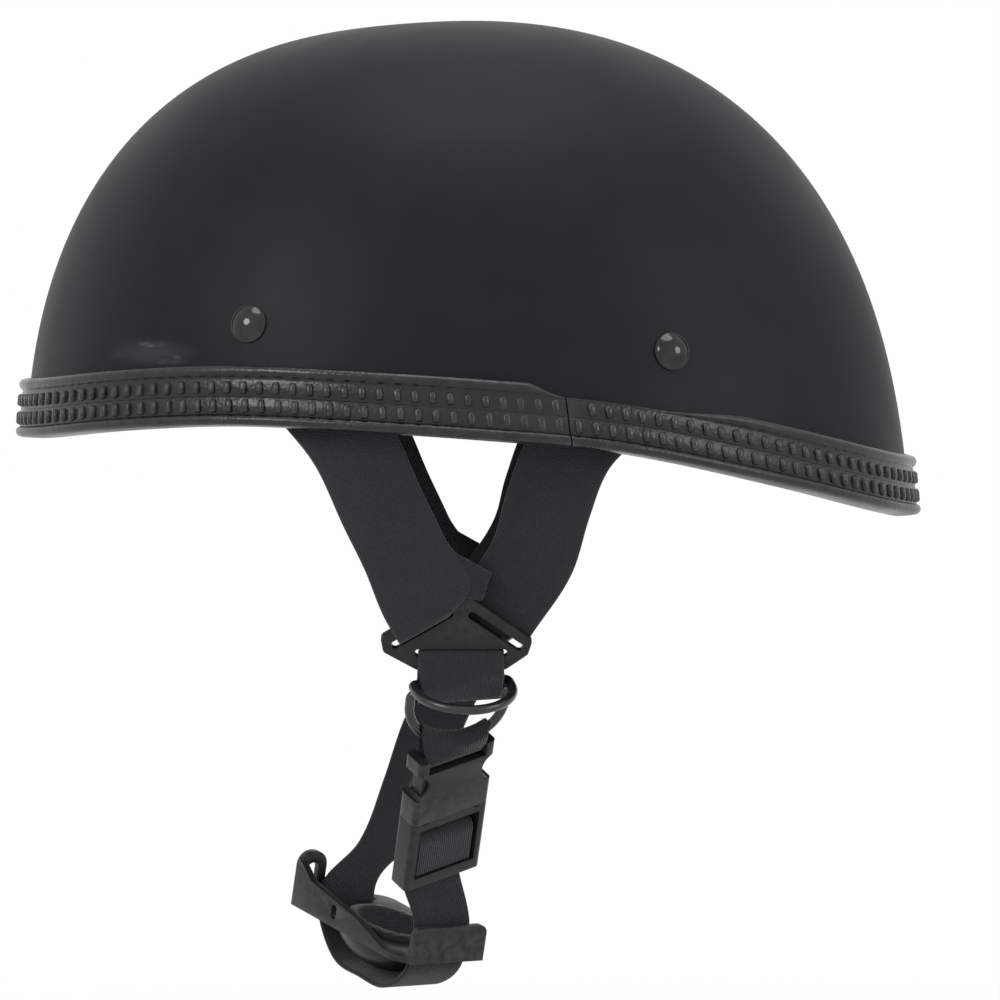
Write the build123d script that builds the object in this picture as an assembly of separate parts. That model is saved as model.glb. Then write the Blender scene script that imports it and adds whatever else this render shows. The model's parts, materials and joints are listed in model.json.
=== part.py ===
from build123d import *
from math import cos, radians, sin, sqrt
import os

# Half shell motorcycle helmet with its chin strap buckled, as it hangs.
# Millimetres. +Z up, the wearer faces -X, the wearer's left side is -Y.
# Origin: the middle of the head opening, level with the top of the side rims.

# Shell: an egg cut by a wavy rim
shell_front_reach = 121.2
shell_rear_reach = 140.7
shell_half_width = 109.0
shell_crown = 155.1
shell_wall = 4.0
shell_centre_x = -9.2
shell_centre_z = -31.3
shell_skirt = 16.0
shell_tilt = -5.1
crown_power = 2.43
crown_steps = 10
rim_fall = 28.0
rim_shares = (
    (-1.10, 0.06), (-0.93, 0.11), (-0.72, 0.23), (-0.52, 0.29), (-0.18, 0.23),
    (0.03, 0.16), (0.30, 0.03), (0.63, -0.32), (0.90, -0.68), (1.10, -0.93),
)
overrun = 12.0

# Fits between pieces
seat_gap = 0.1
soft_gap = 0.3
running_gap = 0.15

# Edge trim, a channel pressed over the rim and butted on the left side
trim_leg = 2.3
trim_height = 14.5
trim_web = 2.0
trim_inner_leg = 1.2
trim_inner_height = 9.0
trim_bead = 0.8
trim_bead_height = 2.6
trim_roll_height = 3.4
trim_joint_x = 29.0
trim_joint_gap = 0.4

# Foam liner and comfort pads
foam_thickness = 12.0
liner_rise = 10.5
pad_thickness = 7.0
crown_pad_radius = 44.0
crown_pad_x = -10.0
end_pad_width = 96.0
end_pad_height = 38.0
end_pad_z = 50.0
end_pad_reach = 45.0
side_pad_width = 92.0
side_pad_height = 36.0
side_pad_z = 52.0
side_pad_reach = 50.0
pad_corner = 12.0

# Rivets that hold the straps, and their washers
rivet_x = (-62.4, 58.2)
rivet_z = (35.1, 27.2)
rivet_head_radius = 5.5
rivet_head_height = 2.6
rivet_shank_radius = 2.2
rivet_tail_radius = 3.4
rivet_tail_height = 0.9
washer_radius = 5.2
washer_thickness = 0.9

# Y straps: webbing from the rivets to the strap divider
web_width = 25.0
web_thickness = 1.5
strap_past_rivet = 9.0
strap_clamp = 6.5
strap_to_shell = 1.65
strap_to_trim = 1.45
pocket_margin = 1.2
pocket_reach = 5.0
hang_inset = 14.0
hang_angle = 18.7
leg_bend_share = 0.58

# Places in the Y strap's plane, as shares of the web's width: x along the row, y up the strap
front_leg_shares = ((-1.34, 0.12), (-0.952, -0.756), (-0.732, -1.24), (-0.42, -2.04))
rear_leg_shares = ((1.2, -0.02), (0.912, -0.756), (0.76, -1.32), (0.284, -2.108))
front_tuck_shares = ((-0.888, -2.22), (0.048, -1.86), (-0.196, -2.012), (-0.808, -2.384))
crotch_shares = ((-0.344, -1.14), (0.272, -1.5), (0.16, -1.84), (-0.24, -1.76))
back_web_shares = (
    (0.0, -1.86), (0.52, -2.248), (0.32, -2.424), (-0.78, -2.424), (-0.808, -2.36), (-0.26, -2.016),
)
divider_shares = (
    (-0.08, -1.74), (-1.008, -2.304), (-0.976, -2.488), (-0.6, -2.704), (0.432, -2.704),
    (0.688, -2.52), (0.744, -2.344),
)
front_slot_shares = ((-0.216, -2.024), (-0.836, -2.4))
rear_slot_shares = ((0.048, -2.04), (0.584, -2.424))
base_slot_shares = ((-0.568, -2.5), (0.408, -2.5))

# Strap divider, a triangular plate with three slots
divider_thickness = 2.6
divider_corner = 1.6
slot_width = 2.3
tongue_gap = 1.3

# Loop that carries the two D rings
loop_thickness = 1.4
side_overrun = 1.0
ring_wire = 2.8
ring_side_gap = 0.4
ring_leg = 3.7
ring_twist = 14.0
ring_bend_length = 2.9
upper_ring_angle = 101.0

# Chin line, from the rings to the near end of the chin cup
chin_line_end = (-12.0, -22.0, -141.0)
chin_web_width = 20.0
buckle_twist = 36.0
buckle_loop_play = 1.3

# Side release buckle: the socket
rail_gap = 0.7
buckle_thickness = 8.0
buckle_corner = 1.6
socket_height = 22.7
socket_wall = 1.4
socket_side_wall = 2.2
socket_pocket_height = 16.6
scallop_radius = 4.6
scallop_set_out = 0.5
scallop_z = 13.4
socket_bar_radius = 1.3
socket_slot_play = 0.5
ring_to_socket = 0.6

# Side release buckle: the plug
plug_height = 24.0
plug_head = 2.5
plug_rail = 2.8
plug_bar_radius = 1.5
plug_bar_drop = 9.3
plug_foot_height = 3.6
plug_foot_depth = 3.6
tongue_height = 10.0
tongue_half_width = 4.6
tongue_thickness = 2.4
prong_width = 2.5
prong_head_width = 3.9
prong_head_length = 4.6
prong_head_chamfer = 1.4
prong_pivot_radius = 1.6
prong_pivot_z = 1.2
prong_gap = 0.4

# Chin cup: a bowl with a flange, two end tabs and a front lip
cup_centre = (-23.0, -3.0, -144.5)
cup_turn = 36.0
cup_tilt = 14.0
bowl_half_length = 20.0
bowl_half_width = 14.5
bowl_depth = 13.0
cup_wall = 2.2
flange_side_rim = 2.0
flange_end_rim = 5.0
flange_thickness = 2.0
flange_corner = 8.0
bowl_to_slot = 4.5
strap_slot_width = 2.4
strap_side_gap = 0.5
near_tab_width = 26.0
near_tab_height = 9.0
near_tab_corner = 2.5
far_tab_width = 9.5
far_tab_height = 15.0
far_tab_corner = 4.4
far_hole_width = 4.0
far_hole_height = 7.0
far_hole_z = 8.0
lip_shares = ((-0.963, 1.444), (-0.712, 0.889), (0.136, 0.489), (0.644, 0.0))
vent_x = -7.5
vent_z = 2.6
vent_width = 2.6
vent_height = 4.4
cup_pad_thickness = 4.0
cup_pad_rise = 2.0

# Chin strap, under the cup and up to the right divider
strap_to_bowl = 0.6
strap_knee_share = 0.6
near_rise = 7.0
far_rise = 4.0
far_strap_gap = 0.5
far_loop_drop = 3.0

# Far strap, as shares of its straight line: how far down it, and how far it bows to the rear
far_strap_shares = ((0.13, 0.012), (0.31, 0.017), (0.54, 0.041), (0.81, 0.055))

# Sizes that follow from the ones above
strap_depth_at_rivet = shell_wall + strap_to_shell + web_thickness / 2
strap_depth_at_trim = shell_wall + seat_gap + trim_inner_leg + strap_to_trim + web_thickness / 2
strap_offset = divider_thickness / 2 + soft_gap + web_thickness / 2
hang_half_gap = shell_half_width - hang_inset
loop_hollow = max(divider_thickness, ring_wire) + 2 * soft_gap
ring_radius = web_width / 2 + ring_wire / 2 + ring_side_gap
ring_spacing = ring_wire + 2 * soft_gap
buckle_loop_hollow = ring_wire + 2 * buckle_loop_play
buckle_width = chin_web_width + 2 * (plug_rail + rail_gap)
socket_slot_height = loop_thickness + socket_slot_play
prong_length = socket_pocket_height - 2 * soft_gap - prong_pivot_z
prong_thickness = buckle_thickness - 2 * (socket_wall + soft_gap)
strap_slot_x = bowl_half_length + bowl_to_slot
strap_slot_length = chin_web_width + 2 * strap_side_gap
flange_length = 2 * (strap_slot_x + flange_end_rim)
flange_width = 2 * (bowl_half_width + flange_side_rim)
far_tab_y = (far_tab_width - flange_width) / 2


def shell_profile(height):
    """Half width of the egg at a height, as a share of its base."""
    return (1 - (height / shell_crown) ** crown_power) ** (1 / crown_power)


def dome(offset):
    """The egg of the shell's outer face, grown outwards by offset, closed and solid."""
    width = shell_half_width + offset
    crown = shell_crown + offset
    power = 2 / crown_power
    angles = [radians(90 * step / crown_steps) for step in range(1, crown_steps)]
    curve_points = [(width * cos(a) ** power, crown * sin(a) ** power) for a in angles]
    outline = Polyline((0, crown), (0, -shell_skirt), (width, -shell_skirt), (width, 0))
    outline += Spline([(width, 0), *curve_points, (0, crown)], tangents=[(0, 1), (-1, 0)])
    profile = make_face(outline)
    halves = []
    for reach, side in ((shell_front_reach, 1), (shell_rear_reach, -1)):
        start = Plane((0, 0, 0), x_dir=(0, side, 0), z_dir=(side, 0, 0))
        half = revolve(start * profile, Axis.Z, 180)
        halves.append(scale(half, by=((reach + offset) / width, 1, 1)))
    return Pos(shell_centre_x, 0, shell_centre_z) * Rot(0, shell_tilt, 0) * (halves[0] + halves[1])


def rim_curve(rise):
    """The rim line in side view, raised by rise."""
    return Spline([(x * shell_rear_reach, z * rim_fall + rise) for x, z in rim_shares])


def band(low, high):
    """Everything between two lines parallel to the rim, as seen from the side."""
    lower = rim_curve(low)
    upper = rim_curve(high)
    ends = Line(lower @ 0, upper @ 0) + Line(lower @ 1, upper @ 1)
    return extrude(Plane.XZ * make_face(lower + upper + ends), shell_half_width + overrun, both=True)


def above(low):
    """Everything above a line parallel to the rim."""
    return band(low, shell_crown + overrun)


def shell_point(x, z, side, depth):
    """A point under the shell's outer face, and the outward normal there."""
    turn = radians(shell_tilt)
    dx = x - shell_centre_x
    dz = z - shell_centre_z
    local_x = dx * cos(turn) - dz * sin(turn)
    local_z = dx * sin(turn) + dz * cos(turn)
    reach = shell_rear_reach if local_x > 0 else shell_front_reach
    share = shell_profile(local_z)
    y = side * shell_half_width * sqrt(share ** 2 - (local_x / reach) ** 2)
    slope = (local_z / shell_crown) ** (crown_power - 1) * share ** (2 - crown_power) / shell_crown
    steep = Vector(local_x / reach ** 2, y / shell_half_width ** 2, slope).normalized()
    normal = Vector(
        steep.X * cos(turn) + steep.Z * sin(turn), steep.Y, steep.Z * cos(turn) - steep.X * sin(turn),
    )
    return Vector(x, y, z) - normal * depth, normal


def strip(points, width):
    """A flat band of one width along a bent centre line, as a face with mitred bends."""
    line = [Vector(*point) for point in points]
    runs = [(end - start).normalized() for start, end in zip(line, line[1:])]
    left = []
    right = []
    for index, point in enumerate(line):
        before = runs[max(index - 1, 0)]
        after = runs[min(index, len(runs) - 1)]
        along = (before + after).normalized()
        side = Vector(-along.Y, along.X, 0) * (width / 2 / along.dot(after))
        left.append(point + side)
        right.append(point - side)
    return make_face(Polyline(*left, *reversed(right), close=True))


def section(centre, along, width_axis, width, thickness):
    """A rectangle across a web, from the way the web runs and the way its width lies."""
    across = (width_axis - along * width_axis.dot(along)).normalized()
    return Plane(centre, x_dir=across, z_dir=along) * Rectangle(width, thickness)


def hang_places(shares):
    """Places in the Y strap's plane, from shares of the web's width."""
    return [Vector(x * web_width, y * web_width) for x, y in shares]


def slot_place(shares):
    """Where a slot of the divider lies in its plane, and the length between its end centres."""
    start, end = hang_places(shares)
    run = end - start
    angle = Vector(1, 0, 0).get_signed_angle(run, Vector(0, 0, 1))
    return Pos((start + end) / 2) * Rot(0, 0, angle), run.length


# Hang plane of the left Y strap: x along the row's X, y up the strap, z outwards
lean = radians(hang_angle)
hang = Plane((0, -hang_half_gap, 0), x_dir=(1, 0, 0), z_dir=(0, -cos(lean), -sin(lean)))


def hang_point(x, y, out):
    """A point of the left hang plane, some way out from it."""
    return hang.from_local_coords(Vector(x, y, out))


def leg_sections(rivet, leg, out, grow, reach):
    """Sections of a leg from above its rivet to the hang plane, for the web or its pocket."""
    exit_point = hang_point(leg[0].X, leg[0].Y, out)
    low_x = rivet[0] + (exit_point.X - rivet[0]) * leg_bend_share
    low_z = rivet[1] + (exit_point.Z - rivet[1]) * leg_bend_share
    top, top_normal = shell_point(*rivet, -1, strap_depth_at_rivet)
    low, low_normal = shell_point(low_x, low_z, -1, strap_depth_at_trim)
    chord = low - top
    start_dir = (chord - top_normal * chord.dot(top_normal)).normalized()
    clamp_end = top + start_dir * strap_clamp
    run_dir = (low - clamp_end).normalized()
    exit_dir = (hang_point(leg[1].X, leg[1].Y, out) - exit_point).normalized()
    middle_dir = (run_dir + (exit_point - low).normalized()).normalized()
    rows = (
        (top - start_dir * strap_past_rivet, start_dir, top_normal),
        (clamp_end, (start_dir + run_dir).normalized(), top_normal),
        (low, middle_dir, low_normal),
        (exit_point, exit_dir, hang.z_dir),
    )
    faces = []
    for centre, along, normal in rows:
        outward = (normal - along * normal.dot(along)).normalized()
        thickness = web_thickness + 2 * grow + reach
        middle = centre + outward * (reach / 2)
        faces.append(section(middle, along, outward.cross(along), web_width + 2 * grow, thickness))
    return faces


leg_table = (
    ((rivet_x[0], rivet_z[0]), hang_places(front_leg_shares), strap_offset),
    ((rivet_x[1], rivet_z[1]), hang_places(rear_leg_shares), -strap_offset),
)


def y_strap():
    """Left Y strap as one web: two legs, the crotch patch and the run behind the divider."""
    half = web_thickness / 2
    web = Part()
    for rivet, points, out in leg_table:
        web += loft(leg_sections(rivet, points, out, 0, 0), ruled=True)
        web += hang.location * Pos(0, 0, out) * extrude(strip(points, web_width), half, both=True)
    patches = (
        (front_tuck_shares, strap_offset),
        (crotch_shares, strap_offset),
        (back_web_shares, -strap_offset),
    )
    for shares, out in patches:
        patch = extrude(make_face(Polyline(*hang_places(shares), close=True)), half, both=True)
        web += hang.location * Pos(0, 0, out) * patch
    place, length = slot_place(front_slot_shares)
    tongue = Box(length - 2 * tongue_gap, web_thickness, 2 * strap_offset + web_thickness)
    return web + hang.location * place * tongue


def strap_pockets():
    """The space round the legs inside the shell, to cut from the liner."""
    pockets = Part()
    for rivet, points, out in leg_table:
        pockets += loft(leg_sections(rivet, points, out, pocket_margin, pocket_reach), ruled=True)
    return pockets


def divider():
    """Left strap divider: a triangular plate with a slot along each side."""
    outline = make_face(Polyline(*hang_places(divider_shares), close=True))
    plate = extrude(fillet(outline.vertices(), divider_corner), divider_thickness / 2, both=True)
    for shares in (front_slot_shares, rear_slot_shares, base_slot_shares):
        place, length = slot_place(shares)
        plate -= place * extrude(SlotCenterToCenter(length, slot_width), divider_thickness, both=True)
    return hang.location * plate


def d_ring():
    """A D ring hanging from the middle of its bar: bar along x, arc below."""
    wire = ring_wire / 2
    ring = Rot(0, 90, 0) * Cylinder(wire, 2 * ring_radius)
    for side in (-1, 1):
        ring += Pos(side * ring_radius, 0, 0) * Sphere(wire)
        ring += Pos(side * ring_radius, 0, -ring_leg / 2) * Cylinder(wire, ring_leg)
    arc = revolve(Pos(ring_radius, 0, 0) * Circle(wire), Axis.Y, 180)
    return ring + Pos(0, 0, -ring_leg) * arc


def web_loop(outer_rows, inner_rows, width, hollow):
    """A web folded into a closed loop, from rows of centre, direction and width axis."""
    outside = [section(*row, width, hollow + 2 * loop_thickness) for row in outer_rows]
    inside = [section(*row, width + 2 * side_overrun, hollow) for row in inner_rows]
    return loft(outside, ruled=True) - loft(inside, ruled=True)


def turned_axis(along, twist):
    """Width axis of a web that runs along a line, turned from the row's X about it."""
    level = (Vector(1, 0, 0) - along * along.X).normalized()
    outward = along.cross(level)
    return level * cos(radians(twist)) - outward * sin(radians(twist))


def buckle_block(height):
    """A block of the buckle's width and thickness with rounded upright edges, base at 0."""
    return extrude(RectangleRounded(buckle_width, buckle_thickness, buckle_corner), height)


def buckle_socket():
    """Socket, its mouth at z 0: a pocket for the prongs, side scallops and a web bar."""
    slot_base = socket_height - 2 * socket_bar_radius - socket_slot_height
    slot_length = chin_web_width + 2 * soft_gap
    pocket_width = buckle_width - 2 * socket_side_wall
    pocket_depth = buckle_thickness - 2 * socket_wall
    socket = buckle_block(socket_height)
    socket -= Pos(0, 0, socket_pocket_height / 2) * Box(pocket_width, pocket_depth, socket_pocket_height)
    for side in (-1, 1):
        scallop = Rot(90, 0, 0) * Cylinder(scallop_radius, buckle_thickness + overrun)
        socket -= Pos(side * (buckle_width / 2 + scallop_set_out), 0, scallop_z) * scallop
    slot_height = socket_height + overrun - slot_base
    socket -= Pos(0, 0, slot_base + slot_height / 2) * Box(slot_length, buckle_thickness, slot_height)
    bar = Rot(0, 90, 0) * Cylinder(socket_bar_radius, slot_length + plug_rail)
    return socket + Pos(0, 0, socket_height - socket_bar_radius) * bar


def prong_x():
    """Distance of a prong's pivot from the middle of the buckle."""
    return buckle_width / 2 - socket_side_wall - prong_gap - prong_pivot_radius - seat_gap


def buckle_prong(side):
    """One sprung prong: a round root, a flat arm and a hooked head."""
    outer = buckle_width / 2 - socket_side_wall - prong_gap
    top = prong_pivot_z + prong_length
    arm = Box(prong_width, prong_thickness, prong_length)
    arm = Pos(outer - prong_width / 2, 0, (prong_pivot_z + top) / 2) * arm
    head = Box(prong_head_width, prong_thickness, prong_head_length)
    inner_edge = head.edges().filter_by(Axis.Y).sort_by(Axis.Z)[-2:].sort_by(Axis.X)[0]
    head = chamfer(inner_edge, prong_head_chamfer)
    prong = arm + Pos(outer - prong_head_width / 2, 0, top - prong_head_length / 2) * head
    root = Rot(90, 0, 0) * Cylinder(prong_pivot_radius, prong_thickness)
    prong += Pos(prong_x(), 0, prong_pivot_z) * root
    return prong if side > 0 else mirror(prong, Plane.YZ)


def buckle_plug():
    """Plug body below the seam: head with prong seats, guide tongue, rails, web bar and foot."""
    opening_width = buckle_width - 2 * plug_rail
    opening_height = plug_height - plug_head - plug_foot_height
    plug = Pos(0, 0, -plug_height - running_gap) * buckle_block(plug_height)
    opening = Box(opening_width, buckle_thickness, opening_height)
    plug -= Pos(0, 0, -running_gap - plug_head - opening_height / 2) * opening
    step_depth = buckle_thickness - plug_foot_depth
    step = Box(opening_width, step_depth, plug_foot_height)
    step_y = (buckle_thickness - step_depth) / 2
    plug -= Pos(0, step_y, plug_foot_height / 2 - plug_height - running_gap) * step
    bar = Rot(0, 90, 0) * Cylinder(plug_bar_radius, opening_width + plug_rail)
    plug += Pos(0, 0, -plug_bar_drop) * bar
    tongue = Box(2 * tongue_half_width, tongue_thickness, tongue_height + plug_head)
    plug += Pos(0, 0, (tongue_height - plug_head) / 2) * tongue
    for side in (-1, 1):
        seat = Rot(90, 0, 0) * Cylinder(prong_pivot_radius + running_gap, buckle_thickness)
        plug -= Pos(side * prong_x(), 0, prong_pivot_z) * seat
    return plug


def plug_web():
    """Web round the plug's bar: an arch, a short front run and the long back run."""
    inner = plug_bar_radius + soft_gap
    outer = inner + loop_thickness
    middle = (inner + outer) / 2
    arch = Rot(0, 90, 0) * (Cylinder(outer, chin_web_width) - Cylinder(inner, chin_web_width))
    arch -= Pos(0, 0, -outer / 2) * Box(chin_web_width, 2 * outer, outer)
    front_length = plug_height - plug_foot_height - soft_gap - plug_bar_drop
    back_length = plug_height - plug_bar_drop
    web = Pos(0, 0, -plug_bar_drop) * arch
    for side, length in ((-1, front_length), (1, back_length)):
        run = Box(chin_web_width, loop_thickness, length)
        web += Pos(0, side * middle, -plug_bar_drop - length / 2) * run
    return web


def cup_plate(width, height, corner):
    """An end tab of the cup: a plate across the strap, its top corners rounded."""
    tall = height + flange_thickness
    face = Rectangle(width, tall)
    top_corners = face.vertices().sort_by(Axis.Y)[-2:]
    plate = extrude(fillet(top_corners, corner), cup_wall)
    return Pos(0, 0, (height - flange_thickness) / 2) * Plane.YZ.location * plate


def egg(length, width, depth):
    """A ball with three different half sizes."""
    return scale(Sphere(length), by=(1, width / length, depth / length))


def bowl(inset):
    """Lower half of the cup's egg, shrunk by inset."""
    whole = egg(bowl_half_length - inset, bowl_half_width - inset, bowl_depth - inset)
    return whole - Pos(0, 0, bowl_depth) * Box(2 * bowl_half_length, 2 * bowl_half_width, 2 * bowl_depth)


def bowl_mouth(inset, height):
    """An oval disc with the outline of the cup's egg, shrunk by inset."""
    length = bowl_half_length - inset
    return scale(Cylinder(length, height), by=(1, (bowl_half_width - inset) / length, 1))


def chin_cup():
    """Chin cup in its own frame: x along the strap towards the left side, z up."""
    flange = extrude(RectangleRounded(flange_length, flange_width, flange_corner), -flange_thickness)
    cup = flange + bowl(0)
    near_tab = cup_plate(near_tab_width, near_tab_height, near_tab_corner)
    cup += Pos(flange_length / 2 - cup_wall, 0, 0) * near_tab
    far_tab = cup_plate(far_tab_width, far_tab_height, far_tab_corner)
    cup += Pos(-flange_length / 2, far_tab_y, 0) * far_tab
    lip_top = [(x * flange_length / 2, z * near_tab_height) for x, z in lip_shares]
    lip_feet = [(x, -flange_thickness) for x, z in (lip_top[-1], lip_top[0])]
    lip_outline = Polyline(*lip_top, *lip_feet, close=True)
    lip = extrude(Plane.XZ * make_face(lip_outline), cup_wall)
    cup += Pos(0, cup_wall - flange_width / 2, 0) * lip
    cup -= bowl(cup_wall)
    cup -= Pos(0, 0, -flange_thickness) * bowl_mouth(cup_wall, 2 * flange_thickness)
    strap_slot = Box(strap_slot_width, strap_slot_length, 4 * flange_thickness)
    for side in (-1, 1):
        cup -= Pos(side * strap_slot_x, 0, 0) * strap_slot
    hole = extrude(SlotOverall(far_hole_height, far_hole_width), 2 * cup_wall, both=True)
    cup -= Pos(-flange_length / 2, far_tab_y, far_hole_z) * Plane.YZ.location * Rot(0, 0, 90) * hole
    vent = extrude(SlotOverall(vent_height, vent_width), 2 * cup_wall, both=True)
    cup -= Pos(vent_x, -flange_width / 2, vent_z) * Rot(90, 0, 0) * Rot(0, 0, 90) * vent
    return cup


def chin_cup_pad():
    """Soft lining of the cup: a bowl of foam that stands a little above the flange."""
    inset = cup_wall + soft_gap
    rise = Pos(0, 0, cup_pad_rise / 2) * bowl_mouth(inset, cup_pad_rise)
    inner = inset + cup_pad_thickness
    hollow = egg(bowl_half_length - inner, bowl_half_width - inner, bowl_depth + cup_pad_rise - inner)
    return bowl(inset) + rise - Pos(0, 0, cup_pad_rise) * hollow


parts = {}

# Shell, its rivets and the washers under them
inner_egg = dome(-shell_wall)
shell = (dome(0) - inner_egg) & above(0)
rivets = []
washers = []
for side in (-1, 1):
    for x, z in zip(rivet_x, rivet_z):
        foot, normal = shell_point(x, z, side, 0)
        place = Plane(foot, z_dir=normal).location
        shell -= place * Cylinder(rivet_shank_radius + running_gap, 2 * (shell_wall + overrun))
        ball = (rivet_head_radius ** 2 + rivet_head_height ** 2) / (2 * rivet_head_height)
        head = Pos(0, 0, rivet_head_height - ball) * Sphere(ball)
        head &= Pos(0, 0, ball) * Box(2 * ball, 2 * ball, 2 * ball)
        strap_face = strap_depth_at_rivet + web_thickness / 2 + running_gap
        shank_length = strap_face + washer_thickness + soft_gap + rivet_tail_height
        shank = Pos(0, 0, -shank_length / 2) * Cylinder(rivet_shank_radius, shank_length)
        tail = Cylinder(rivet_tail_radius, rivet_tail_height)
        tail = Pos(0, 0, rivet_tail_height / 2 - shank_length) * tail
        rivets.append(place * Pos(0, 0, soft_gap / 2) * (head + shank + tail))
        washer = Cylinder(washer_radius, washer_thickness)
        washer -= Cylinder(rivet_shank_radius + running_gap, overrun)
        washers.append(place * Pos(0, 0, -strap_face - washer_thickness / 2) * washer)
parts["outer_shell"] = shell
parts["strap_rivets"] = Compound(rivets)
parts["rivet_washers"] = Compound(washers)

# Edge trim
trim_face = seat_gap + trim_leg
trim = (dome(trim_face) & band(-trim_web, trim_height)) - dome(-shell_wall - seat_gap - trim_inner_leg)
bead_ring = dome(trim_face + trim_bead) - dome(seat_gap)
trim += bead_ring & band(trim_height - trim_bead_height, trim_height)
trim += bead_ring & band(-trim_web, trim_roll_height - trim_web)
trim -= (dome(seat_gap) - dome(-shell_wall - seat_gap)) & above(-seat_gap)
trim -= dome(-shell_wall - seat_gap / 2) & above(trim_inner_height)
joint_depth = shell_half_width + overrun
trim -= Pos(trim_joint_x, -joint_depth / 2, 0) * Box(trim_joint_gap, joint_depth, 3 * rim_fall)
parts["edge_trim"] = trim

# Y straps and dividers, the right ones mirrored
left_web = y_strap()
for x, z in zip(rivet_x, rivet_z):
    foot, normal = shell_point(x, z, -1, 0)
    hole = Cylinder(rivet_shank_radius + running_gap, 2 * (shell_wall + overrun))
    left_web -= Plane(foot, z_dir=normal).location * hole
parts["left_y_strap"] = left_web
parts["right_y_strap"] = mirror(left_web, Plane.XZ)
parts["left_strap_divider"] = divider()
parts["right_strap_divider"] = mirror(divider(), Plane.XZ)

# Foam liner with strap pockets, and the comfort pads stuck inside it
liner_face = -shell_wall - soft_gap
liner = (dome(liner_face) - dome(liner_face - foam_thickness)) & above(liner_rise)
pockets = strap_pockets()
liner = liner - pockets - mirror(pockets, Plane.XZ)
for side in (-1, 1):
    for x, z in zip(rivet_x, rivet_z):
        foot, normal = shell_point(x, z, side, 0)
        depth = strap_depth_at_rivet + web_thickness + washer_thickness + 2 * rivet_tail_height + soft_gap
        liner -= Plane(foot, z_dir=normal).location * Cylinder(washer_radius + pocket_margin, 2 * depth)
parts["foam_liner"] = liner
pad_face = liner_face - foam_thickness - soft_gap
pad_layer = dome(pad_face) - dome(pad_face - pad_thickness)
end_face = RectangleRounded(end_pad_width, end_pad_height, pad_corner)
side_face = RectangleRounded(side_pad_width, side_pad_height, pad_corner)
long_reach = shell_rear_reach + overrun
pad_cutters = {
    "crown_pad": Pos(crown_pad_x, 0, shell_crown / 2) * Cylinder(crown_pad_radius, shell_crown),
    "front_pad": Pos(-end_pad_reach, 0, end_pad_z) * Plane.YZ.location * extrude(end_face, -long_reach),
    "rear_pad": Pos(end_pad_reach, 0, end_pad_z) * Plane.YZ.location * extrude(end_face, long_reach),
    "left_pad": Pos(0, -side_pad_reach, side_pad_z) * Plane.XZ.location * extrude(side_face, long_reach),
    "right_pad": Pos(0, side_pad_reach, side_pad_z) * Plane.XZ.location * extrude(side_face, -long_reach),
}
for name, cutter in pad_cutters.items():
    parts[name] = pad_layer & cutter

# Chin line: where the web leaves the divider, then straight to the cup's near end
base_start, base_end = hang_places(base_slot_shares)
base_x = (base_start.X + base_end.X) / 2
base_y = base_start.Y
divider_foot_y = min(point.Y for point in hang_places(divider_shares))
line_end = Vector(*chin_line_end)
plate_foot = hang_point(base_x, divider_foot_y - soft_gap, 0)
bend_dir = (line_end - plate_foot).normalized() - hang.y_dir
line_start = plate_foot + bend_dir.normalized() * ring_bend_length
chin_dir = (line_end - line_start).normalized()
ring_axis = turned_axis(chin_dir, ring_twist)
buckle_axis = turned_axis(chin_dir, buckle_twist)
upper_bar = line_start + chin_dir * (ring_wire / 2 + running_gap)
lower_bar = upper_bar + chin_dir * ring_spacing
down = -hang.y_dir
level_x = Vector(1, 0, 0)

# Ring loop and the two D rings
loop_end = lower_bar + chin_dir * (ring_wire / 2 + running_gap)
middle_rows = [(plate_foot, down, level_x), (line_start, chin_dir, ring_axis)]
outer_rows = [(hang_point(base_x, base_y + loop_thickness / 2, 0), down, level_x), *middle_rows]
outer_rows.append((loop_end + chin_dir * loop_thickness, chin_dir, ring_axis))
inner_rows = [(hang_point(base_x, base_y - loop_thickness / 2, 0), down, level_x), *middle_rows]
inner_rows.append((loop_end, chin_dir, ring_axis))
parts["ring_loop"] = web_loop(outer_rows, inner_rows, web_width - soft_gap, loop_hollow)
lower_ring_frame = Plane(lower_bar, x_dir=ring_axis, z_dir=-chin_dir)
upper_ring_frame = Plane(upper_bar, x_dir=ring_axis, z_dir=-chin_dir)
parts["lower_d_ring"] = lower_ring_frame.location * d_ring()
parts["upper_d_ring"] = upper_ring_frame.location * Rot(-upper_ring_angle, 0, 0) * d_ring()

# Buckle loop, from the arc of the lower ring to the bar of the socket
arc_depth = ring_leg + ring_radius
arc_rise = ring_radius - sqrt(ring_radius ** 2 - (chin_web_width / 2) ** 2)
loop_top = arc_depth - arc_rise - ring_wire / 2 - 2 * soft_gap
socket_top = arc_depth + ring_wire / 2 + ring_to_socket
loop_base = socket_top + 2 * socket_bar_radius + (socket_slot_height - loop_thickness) / 2
outer_rows = [
    (lower_bar + chin_dir * (loop_top - loop_thickness), chin_dir, ring_axis),
    (lower_bar + chin_dir * (loop_base + loop_thickness), chin_dir, buckle_axis),
]
inner_rows = [
    (lower_bar + chin_dir * loop_top, chin_dir, ring_axis),
    (lower_bar + chin_dir * loop_base, chin_dir, buckle_axis),
]
parts["buckle_loop"] = web_loop(outer_rows, inner_rows, chin_web_width, buckle_loop_hollow)

# Buckle
seam = lower_bar + chin_dir * (socket_top + socket_height)
buckle_frame = Plane(seam, x_dir=buckle_axis, z_dir=-chin_dir)
parts["buckle_socket"] = buckle_frame.location * buckle_socket()
parts["buckle_plug"] = buckle_frame.location * buckle_plug()
parts["front_prong"] = buckle_frame.location * buckle_prong(-1)
parts["rear_prong"] = buckle_frame.location * buckle_prong(1)

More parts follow.
